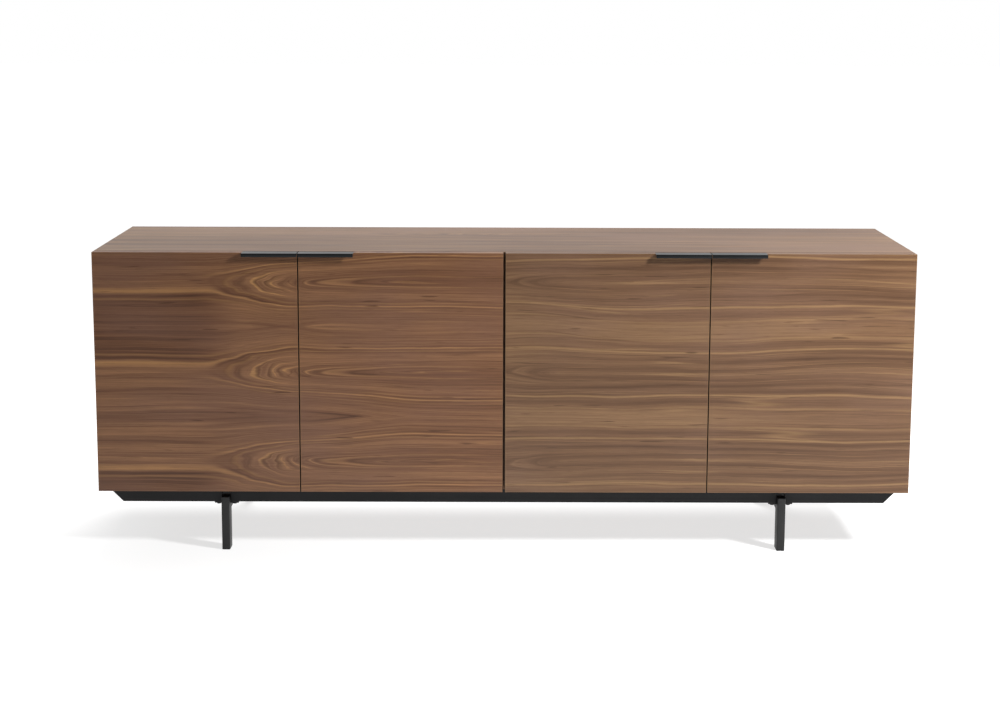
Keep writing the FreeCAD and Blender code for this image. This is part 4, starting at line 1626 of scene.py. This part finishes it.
@dataclass
class Hinges:
    """Concealed cup hinges: cup, goose-necked link, channel arm, mounting plate, pins and screws."""

    door_thickness: float = 22.0 * MM
    cup_pivot: tuple[float, float] = (15.2 * MM, 16.7 * MM)
    arm_pivot: tuple[float, float] = (42.5 * MM, 35.0 * MM)
    pin_radius: float = 1.25 * MM
    pin_end: float = 0.4 * MM
    pin_ease: float = 0.3 * MM
    side_play: float = 0.3 * MM
    link_bends: tuple[tuple[float, float], ...] = ((19.0 * MM, 13.2 * MM), (30.5 * MM, 13.2 * MM),
                                                   (33.8 * MM, 16.5 * MM), (34.2 * MM, 24.0 * MM))
    link_half: float = 6.0 * MM
    link_metal: float = 2.2 * MM
    link_fold: float = 1.8 * MM
    link_ease: float = 0.3 * MM
    eye_radius: float = 2.6 * MM
    eye_ease: float = 0.35 * MM
    cup_centre: float = 22.5 * MM
    cup_radius: float = 17.5 * MM
    cup_depth: float = 13.2 * MM
    cup_wall: float = 0.8 * MM
    cup_rim: float = 0.9 * MM
    cup_sides: int = 48
    cup_foot: float = 1.6 * MM
    rim_ease: float = 0.4 * MM
    flange: float = 1.2 * MM
    ear_centre: float = 28.5 * MM
    ear_half: float = 6.0 * MM
    ear_ease: float = 0.25 * MM
    ear_hole: float = 3.55 * MM
    cup_screw_half: float = 24.0 * MM
    lug: float = 2.4 * MM
    lug_radius: float = 3.0 * MM
    arm_metal: float = 1.2 * MM
    arm_width: float = 8.4 * MM
    arm_top: float = 13.3 * MM
    arm_shoulder: float = 53.0 * MM
    arm_mouth: float = 43.0 * MM
    arm_tail: float = 92.0 * MM
    arm_nose: float = 4.2 * MM
    arm_fold: float = 1.3 * MM
    set_screw_inset: float = 9.0 * MM
    screw_line: float = 62.0 * MM
    plate_base: float = 2.5 * MM
    plate_half_width: float = 7.0 * MM
    plate_half_height: float = 24.0 * MM
    plate_ridge_top: float = 12.1 * MM
    plate_ridge_end: float = 87.0 * MM
    plate_screw_half: float = 16.0 * MM
    plate_ease: float = 0.4 * MM
    ridge_ease: float = 0.8 * MM
    set_screw: Screw = Screw(2.9 * MM, 0.9 * MM, 2.0 * MM, 3.0 * MM, proud=True)
    plate_screw: Screw = Screw(4.0 * MM, 1.8 * MM, 2.5 * MM, 12.0 * MM, proud=True)
    cup_screw: Screw = Screw(3.5 * MM, 1.8 * MM, 1.75 * MM, 12.0 * MM)

    def build(self) -> None:
        """Makes the hinges' pieces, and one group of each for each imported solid."""
        hangings = Doorway().hangings()
        for hanging in hangings:
            leaf = hanging.door.panel
            spots = hanging.spots()
            self._fit(self._cup(), spots, leaf + "_hinge_cups", hanging.door.leaf)
            self._fit(self._pin(self.cup_pivot, self.lug), spots, leaf + "_cup_pins", hanging.door.leaf)
            self._fit(self._link(), spots, leaf + "_hinge_links", hanging.door.value + "_links")
            self._fit(self._cup_screws(), spots, leaf + "_cup_screws", hanging.door.leaf)
        spots = [spot for hanging in hangings for spot in hanging.spots()]
        self._fit(self._pin(self.arm_pivot, self.arm_metal), spots, "hinge_arm_pins", "carcass")
        plates, screws = [], []
        for kind, face in (("side", hangings[0].board_face), ("partition", hangings[1].board_face)):
            own = [spot for hanging in hangings if hanging.board_face == face
                   for spot in hanging.spots()]
            self._fit(self._arm(face), own, kind + "_hinge_arms", "carcass")
            plates.append(Bench.stamp(self._plate(face), own, kind + "_plates"))
            screws.append(Bench.stamp(self._plate_screws(face), own, kind + "_screws"))
        fit(Bench.join(plates, "hinge_plates"), "hinge_mounting_plates", "carcass", NICKEL)
        fit(Bench.join(screws, "plate_screws"), "hinge_plate_screws", "carcass", NICKEL)

    def _fit(self, master: bpy.types.Object, spots: Sequence[Matrix], node: str, body: str) -> None:
        """Sets a copy of a piece at each hinge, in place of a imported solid.

        Args:
            master: The piece, modelled once.
            spots: The moves to each hinge.
            node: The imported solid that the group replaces.
            body: The body that it moves with.
        """
        fit(Bench.stamp(master, spots, node + "_group"), node, body, NICKEL)

    def _cup(self) -> bpy.types.Object:
        """Presses the cup from a disc, adds its two ears and stands the lugs in it.

        Returns:
            The cup.
        """
        back = self.door_thickness
        floor = back - self.cup_depth
        outer = self.cup_radius + self.cup_rim
        x = self.cup_centre
        cup = Bench.rod("cup", outer, (x, back, 0), (x, back + self.flange, 0), self.cup_sides)
        Bench.pick_faces(cup, facing(Axis.DEPTH, -1))
        bpy.ops.mesh.inset(thickness=self.cup_rim)
        Bench.draw((0, -self.cup_depth, 0))
        Bench.leave()
        backward = facing(Axis.DEPTH, 1)
        Bench.pick_faces(cup, lambda c, n: backward(c, n) and c.y > back)
        bpy.ops.mesh.inset(thickness=self.cup_rim + self.cup_wall)
        Bench.draw((0, self.cup_wall - self.cup_depth - self.flange, 0))
        Bench.leave()
        low = floor + 2 * self.cup_wall
        brim = back + self.flange * FACING
        Bench.round_edges(cup, lambda a, b: max(a.y, b.y) < low, self.cup_foot)
        Bench.round_edges(cup, lambda a, b: min(a.y, b.y) > brim, self.rim_ease, 2)
        tip = self.cup_screw_half + self.ear_half
        ears = Bench.block("ears", (self.ear_centre - self.ear_half, back, -tip),
                           (self.ear_centre + self.ear_half, back + self.flange, tip))
        Bench.round_edges(ears, lambda a, b: abs(a.y - b.y) > self.flange / 2, self.ear_half * 0.96, 8)
        holes = [(x, 0, self.cup_radius - self.cup_wall / 2, self.cup_sides)]
        holes += [(self.ear_centre, z, self.ear_hole, Bench.ROUND)
                  for z in (-self.cup_screw_half, self.cup_screw_half)]
        for across, z, radius, sides in holes:
            Bench.cut(ears, Bench.rod("hole", radius, (across, 0, z), (across, 2 * back, z), sides))
        Bench.soften(ears, self.ear_ease)
        lugs = []
        near = self.link_half + self.side_play
        px, py = self.cup_pivot
        top = py + self.lug_radius
        for side in (-1, 1):
            ends = sorted((side * near, side * (near + self.lug)))
            lug = Bench.block("lug", (px - self.lug_radius, floor + self.cup_wall / 2, ends[0]),
                              (px + self.lug_radius, top, ends[1]))
            Bench.round_edges(lug, lambda a, b: abs(a.z - b.z) > self.lug / 2 and a.y > py,
                              self.lug_radius * 0.92, 6)
            lugs.append(lug)
        whole = Bench.join([cup, ears] + lugs, "cup")
        Bench.smooth(whole)
        return whole

    def _cup_screws(self) -> bpy.types.Object:
        """The two screws through the cup's ears.

        Returns:
            Both screws as one piece.
        """
        seats = [seat_at((self.ear_centre, self.door_thickness + self.flange, z), (0, -1, 0))
                 for z in (-self.cup_screw_half, self.cup_screw_half)]
        return Bench.stamp(self.cup_screw.build("cup_screw"), seats, "cup_screws")

    def _pin(self, pivot: tuple[float, float], grip: float) -> bpy.types.Object:
        """A pin through the link and what holds it on both sides.

        Args:
            pivot: Where it turns, in plan.
            grip: How far it reaches into each side.

        Returns:
            The pin.
        """
        half = self.link_half + self.side_play + grip + self.pin_end
        pin = Bench.rod("pin", self.pin_radius, (*pivot, -half), (*pivot, half), 24, self.pin_ease)
        Bench.smooth(pin)
        return pin

    def _link(self) -> bpy.types.Object:
        """Bends a strip from the cup's pin to the arm's pin and rolls an eye at each end.

        Returns:
            The link.
        """
        path = [self.cup_pivot, *self.link_bends, self.arm_pivot]
        half = self.link_half
        first, second = Vector((*path[0], 0)), Vector((*path[1], 0))
        way = second - first
        Bench.clear()
        bpy.ops.mesh.primitive_plane_add(size=1, location=(first + second) / 2)
        strip = bpy.context.object
        along, up = way.normalized(), Vector((0, 0, 1))
        strip.rotation_euler = Matrix((along, up, along.cross(up))).transposed().to_euler()
        strip.scale = (way.length, 2 * half, 1)
        Bench.settle(strip, "link")
        Bench.pick_edges(strip, lambda a, b: max((end - second).xy.length for end in (a, b)) < NEAR)
        for (ax, ay), (bx, by) in zip(path[1:], path[2:]):
            Bench.draw((bx - ax, by - ay, 0))
        Bench.leave()
        bends = [Vector((*point, 0)) for point in self.link_bends]
        Bench.round_edges(strip, lambda a, b: (a - b).xy.length < NEAR
                          and any((a - bend).xy.length < NEAR for bend in bends), self.link_fold, 5)
        Bench.hold(strip)
        thick = strip.modifiers.new("metal", "SOLIDIFY")
        thick.thickness = self.link_metal
        thick.offset = 0.0
        bpy.ops.object.modifier_apply(modifier=thick.name)
        Bench.soften(strip, self.link_ease)
        eyes = [Bench.rod("eye", self.eye_radius, (*end, -half), (*end, half), Bench.ROUND,
                          self.eye_ease) for end in (self.cup_pivot, self.arm_pivot)]
        whole = Bench.join([strip] + eyes, "link")
        Bench.smooth(whole)
        return whole

    def _arm(self, face: float) -> bpy.types.Object:
        """Folds the channel: straight over the plate, then cranked out to the nose with the pin.

        Args:
            face: The upright board's face, in plan.

        Returns:
            The arm and its screws.
        """
        high = face + self.arm_top
        low = high - self.arm_width
        half = self.link_half + self.side_play + self.arm_metal
        arm = Bench.block("arm", (low, self.arm_shoulder, -half), (high, self.arm_tail, half))
        middle = (low + high) / 2
        px, py = self.arm_pivot
        share = (self.arm_shoulder - self.arm_mouth) / (self.arm_shoulder - py)
        stops = [(middle + (px - middle) * share, self.arm_mouth), (px, py), (px, py - self.arm_nose)]
        Bench.pick_faces(arm, facing(Axis.DEPTH, -1))
        x, y = middle, self.arm_shoulder
        for next_x, next_y in stops:
            Bench.draw((next_x - x, next_y - y, 0))
            x, y = next_x, next_y
        Bench.leave()
        tail, nose, mouth = self.arm_tail, py - self.arm_nose, self.arm_mouth
        Bench.pick_faces(arm, lambda c, n: abs(n.z) < 0.5 and (
            n.x < -0.2 or abs(c.y - tail) < NEAR or abs(c.y - nose) < NEAR
            or (n.x > 0.2 and c.y < mouth)))
        bpy.ops.mesh.delete(type="FACE")
        Bench.leave()
        Bench.round_edges(arm, lambda a, b: abs(a.z) > half - NEAR and abs(a.z - b.z) < NEAR
                          and min(a.y, b.y) > mouth - NEAR and self._on_back(a, b, high), self.arm_fold)
        Bench.hold(arm)
        metal = arm.modifiers.new("metal", "SOLIDIFY")
        metal.thickness = self.arm_metal
        metal.offset = -1.0
        metal.use_even_offset = True
        bpy.ops.object.modifier_apply(modifier=metal.name)
        Bench.round_edges(arm, lambda a, b: abs(a.z - b.z) > self.arm_metal / 2
                          and max(a.y, b.y) < nose + NEAR, self.arm_nose * 0.9, 6)
        seats = [seat_at((high, y, 0), (-1, 0, 0)) for y in
                 (self.arm_shoulder + self.set_screw_inset, self.arm_tail - self.set_screw_inset)]
        screws = Bench.stamp(self.set_screw.build("set_screw"), seats, "set_screws")
        whole = Bench.join([arm, screws], "arm")
        Bench.smooth(whole)
        return whole

    def _on_back(self, a: Vector, b: Vector, high: float) -> bool:
        """Whether an edge runs along the arm's back, where it folds into its cheeks.

        Args:
            a: One end of the edge.
            b: Its other end.
            high: How far out the straight part of the back stands.

        Returns:
            Whether it does.
        """
        px, py = self.arm_pivot

        def back_at(y: float) -> float:
            """How far out the back stands at a place along the arm."""
            share = max(0.0, (self.arm_shoulder - y) / (self.arm_shoulder - py))
            return high + (px + self.arm_width / 2 - high) * min(1.0, share)

        return all(abs(end.x - back_at(end.y)) < MM / 5 for end in (a, b))

    def _plate(self, face: float) -> bpy.types.Object:
        """A round-ended base with the ridge that the arm slides over.

        Args:
            face: The upright board's face, in plan.

        Returns:
            The plate.
        """
        width, height = self.plate_half_width, self.plate_half_height
        base = Bench.block("plate", (face, self.screw_line - width, -height),
                           (face + self.plate_base, self.screw_line + width, height))
        Bench.round_edges(base, lambda a, b: abs(a.x - b.x) > self.plate_base / 2, width * 0.95, 8)
        Bench.soften(base, self.plate_ease)
        ridge = Bench.block("ridge", (face, self.arm_shoulder, -self.link_half),
                            (face + self.plate_ridge_top, self.plate_ridge_end, self.link_half))
        Bench.soften(ridge, self.ridge_ease)
        whole = Bench.join([base, ridge], "plate")
        Bench.smooth(whole)
        return whole

    def _plate_screws(self, face: float) -> bpy.types.Object:
        """The two screws of a mounting plate.

        Args:
            face: The upright board's face, in plan.

        Returns:
            Both screws as one piece.
        """
        seats = [seat_at((face + self.plate_base, self.screw_line, z), (-1, 0, 0))
                 for z in (-self.plate_screw_half, self.plate_screw_half)]
        return Bench.stamp(self.plate_screw.build("plate_screw"), seats, "plate_screws")


@dataclass
class Fixings:
    """The screws of the handles, the back and the legs, and the back panel with its countersinks."""

    handle_length: float = 134.0 * MM
    handle_screw_inset: float = 22.0 * MM
    handle_screw_drop: float = 12.0 * MM
    handle_screw: Screw = Screw(3.5 * MM, 1.8 * MM, 1.75 * MM, 15.0 * MM)
    back_screw: Screw = Screw(3.5 * MM, 1.8 * MM, 1.75 * MM, 24.0 * MM, stand=0.0)
    clearance: float = 0.05 * MM
    back_inset: float = 90.0 * MM
    board: float = 22.0 * MM
    rebate: float = 5.0 * MM
    long_side: int = 4
    leg_screw: Screw = Screw(5.5 * MM, 3.4 * MM, 3.0 * MM, 30.0 * MM, proud=True, socket_sides=6,
                             slot_reach=0.42)
    leg_plate: float = 4.0 * MM
    leg_reach: float = 20.0 * MM
    rail_middle: float = 9.0 * MM

    def build(self) -> None:
        """Sets each group of screws."""
        self._handles()
        self._back()
        self._legs()

    def _handles(self) -> None:
        """Two screws through each handle's tab."""
        for hanging in Doorway().hangings():
            panel = hanging.door.panel
            low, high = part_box(panel)
            width, height, depth = high.x - low.x, high.z - low.z, high.y - low.y
            start = width - self.handle_length
            seats = [hanging.foot() @ seat_at((x, depth, height - self.handle_screw_drop), (0, -1, 0))
                     for x in (start + self.handle_screw_inset, width - self.handle_screw_inset)]
            group = Bench.stamp(self.handle_screw.build("screw"), seats, panel + "_tab_screws")
            fit(group, panel + "_handle_screws", hanging.door.leaf, BLACK)

    def _back(self) -> None:
        """The back panel, and the screws round it and down its middle."""
        low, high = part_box("top_panel")
        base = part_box("bottom_panel")[0].z
        side = high.x - self.board
        top, bottom = high.z - self.board, base + self.board
        xs = [-side + self.back_inset + i * 2 * (side - self.back_inset) / (self.long_side - 1)
              for i in range(self.long_side)]
        places = [(x, z) for x in xs for z in (bottom - self.rebate, top + self.rebate)]
        places += [(x, z) for x in (-side - self.rebate, 0.0, side + self.rebate)
                   for z in (bottom + self.back_inset, top - self.back_inset)]
        seats = [seat_at((x, high.y, z), (0, -1, 0)) for x, z in places]
        group = Bench.stamp(self.back_screw.build("screw"), seats, "back_screw_group")
        fit(group, "back_panel_screws", "carcass", ZINC)
        board = Bench.block("back_board", *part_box("back_panel"))
        for x, z in places:
            for radius, depth in ((self.back_screw.head_radius, self.back_screw.head_depth),
                                  (self.back_screw.shank_radius, self.back_screw.length)):
                Bench.cut(board, Bench.rod("sink", radius + self.clearance, (x, high.y - depth, z),
                                           (x, high.y + MM, z), Bench.ROUND))
        fit(board, "back_panel", "carcass", Boards.back_sheet)

    def _legs(self) -> None:
        """Socket screws up through the leg frames' plates."""
        seats = []
        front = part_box("plinth_front_rail")[0].y + self.rail_middle
        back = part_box("plinth_back_rail")[1].y - self.rail_middle
        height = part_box("plinth_front_rail")[0].z - self.leg_plate
        for side in ("left", "right"):
            low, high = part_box(side + "_leg_frame")
            for y in (front, back):
                seats += [seat_at((x, y, height), (0, 0, 1))
                          for x in (low.x + self.leg_reach / 2, high.x - self.leg_reach / 2)]
        group = Bench.stamp(self.leg_screw.build("screw"), seats, "leg_screw_group")
        fit(group, "leg_screws", "carcass", BLACK)


@dataclass
class Trim:
    """Shelf pins, door bumpers and foot glides."""

    pin_radius: float = 2.5 * MM
    pin_depth: float = 9.0 * MM
    seat_length: float = 10.0 * MM
    seat_width: float = 8.0 * MM
    seat_height: float = 6.0 * MM
    seat_nose: float = 3.0 * MM
    seat_ease: float = 0.5 * MM
    pin_ease: float = 0.6 * MM
    bumper_radius: float = 5.0 * MM
    bumper_height: float = 2.7 * MM
    bumper_dome: float = 1.6 * MM
    bumper_top_inset: float = 160.0 * MM
    bumper_bottom_inset: float = 25.0 * MM
    board: float = 22.0 * MM
    glide_foot: float = 2.0 * MM
    glide_corner: float = 2.2 * MM
    glide_ease: float = 0.4 * MM
    plug_ease: float = 0.8 * MM
    plug_inset: float = 2.2 * MM
    plug_height: float = 14.0 * MM
    tube_depth: float = 35.0 * MM
    plate_reach: float = 20.0 * MM
    rubber: Moulded = Moulded("bumper_rubber", paint(190, 190, 184), 0.35)
    plastic: Moulded = Moulded("glide_plastic", paint(28, 28, 29), 0.55)
    beech: Beech = Beech()

    def build(self, nodes: dict[str, bpy.types.Object]) -> None:
        """Makes each group, and finishes the dowels.

        Args:
            nodes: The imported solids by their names.
        """
        self._shelf_pins()
        self._bumpers()
        self._glides()
        for node in ("partition_dowels", "plinth_dowels"):
            self.beech.dress(nodes[node])

    def _shelf_pins(self) -> None:
        """Steel pins with a flat-topped seat, two in each upright face."""
        low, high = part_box("shelf_pins")
        shelf = high.z
        seat = Bench.block("seat", (-self.seat_width / 2, -self.seat_length, -self.seat_height),
                           (self.seat_width / 2, 0, 0))
        front = NEAR - self.seat_length
        Bench.round_edges(seat, lambda a, b: min(a.y, b.y) < front and max(a.z, b.z) < -MM,
                          self.seat_nose, 6)
        Bench.soften(seat, self.seat_ease)
        shank = Bench.rod("shank", self.pin_radius, (0, 0, -self.pin_radius),
                          (0, self.pin_depth, -self.pin_radius), Bench.ROUND, self.pin_ease)
        pin = Bench.join([seat, shank], "pin")
        Bench.smooth(pin)
        places = []
        half = self.board / 2
        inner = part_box("left_shelf")
        rows = (low.y + self.seat_width / 2, high.y - self.seat_width / 2)
        side = inner[0].x - MM
        for x, way in ((side, -1), (-half, 1), (half, -1), (-side, 1)):
            for y in rows:
                turn = Matrix.Rotation(math.radians(-90 * way), 4, "Z")
                places.append(Matrix.Translation((x, y, shelf)) @ turn)
        fit(Bench.stamp(pin, places, "shelf_pin_group"), "shelf_pins", "carcass", ZINC)

    def _bumpers(self) -> None:
        """Two clear domes on each door's back."""
        for hanging in Doorway().hangings():
            panel = hanging.door.panel
            low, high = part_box(panel)
            width, height, depth = high.x - low.x, high.z - low.z, high.y - low.y
            dome = Bench.rod("dome", self.bumper_radius, (0, 0, 0), (0, self.bumper_height, 0), 32)
            top = self.bumper_height - NEAR
            Bench.round_edges(dome, lambda a, b: min(a.y, b.y) > top, self.bumper_dome, 6)
            Bench.smooth(dome)
            spots = ((self.bumper_top_inset, height - self.board / 2),
                     (self.bumper_bottom_inset, self.board / 2))
            places = [hanging.foot() @ Matrix.Translation((width - inset, depth, z))
                      for inset, z in spots]
            group = Bench.stamp(dome, places, panel + "_bumper_group")
            fit(group, panel + "_bumpers", hanging.door.leaf, self.rubber)

    def _glides(self) -> None:
        """A plastic foot under each upright, with its plug up the tube."""
        glides = []
        for side in ("left", "right"):
            low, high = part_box(side + "_leg_frame")
            x0, x1 = low.x + self.plate_reach, high.x - self.plate_reach
            for y0 in (low.y, high.y - self.tube_depth):
                y1 = y0 + self.tube_depth
                foot = Bench.block("foot", (x0, y0, 0), (x1, y1, self.glide_foot))
                Bench.round_edges(foot, lambda a, b: abs(a.z - b.z) > self.glide_foot / 2,
                                  self.glide_corner)
                Bench.soften(foot, self.glide_ease)
                inset = self.plug_inset
                plug = Bench.block("plug", (x0 + inset, y0 + inset, self.glide_foot / 2),
                                   (x1 - inset, y1 - inset, self.glide_foot + self.plug_height))
                Bench.soften(plug, self.plug_ease)
                glides += [foot, plug]
        group = Bench.join(glides, "foot_glide_group")
        Bench.smooth(group)
        fit(group, "foot_glides", "carcass", self.plastic)


def main() -> None:
    """Builds the sideboard's looks in order."""
    logging.basicConfig(level=logging.INFO, format="%(name)s: %(message)s")
    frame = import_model()
    Studio().build()
    Boards().build(frame["nodes"])
    Handles().build()
    LegFrames().build()
    Hinges().build()
    Fixings().build()
    Trim().build(frame["nodes"])


if __name__ == "__main__":
    main()
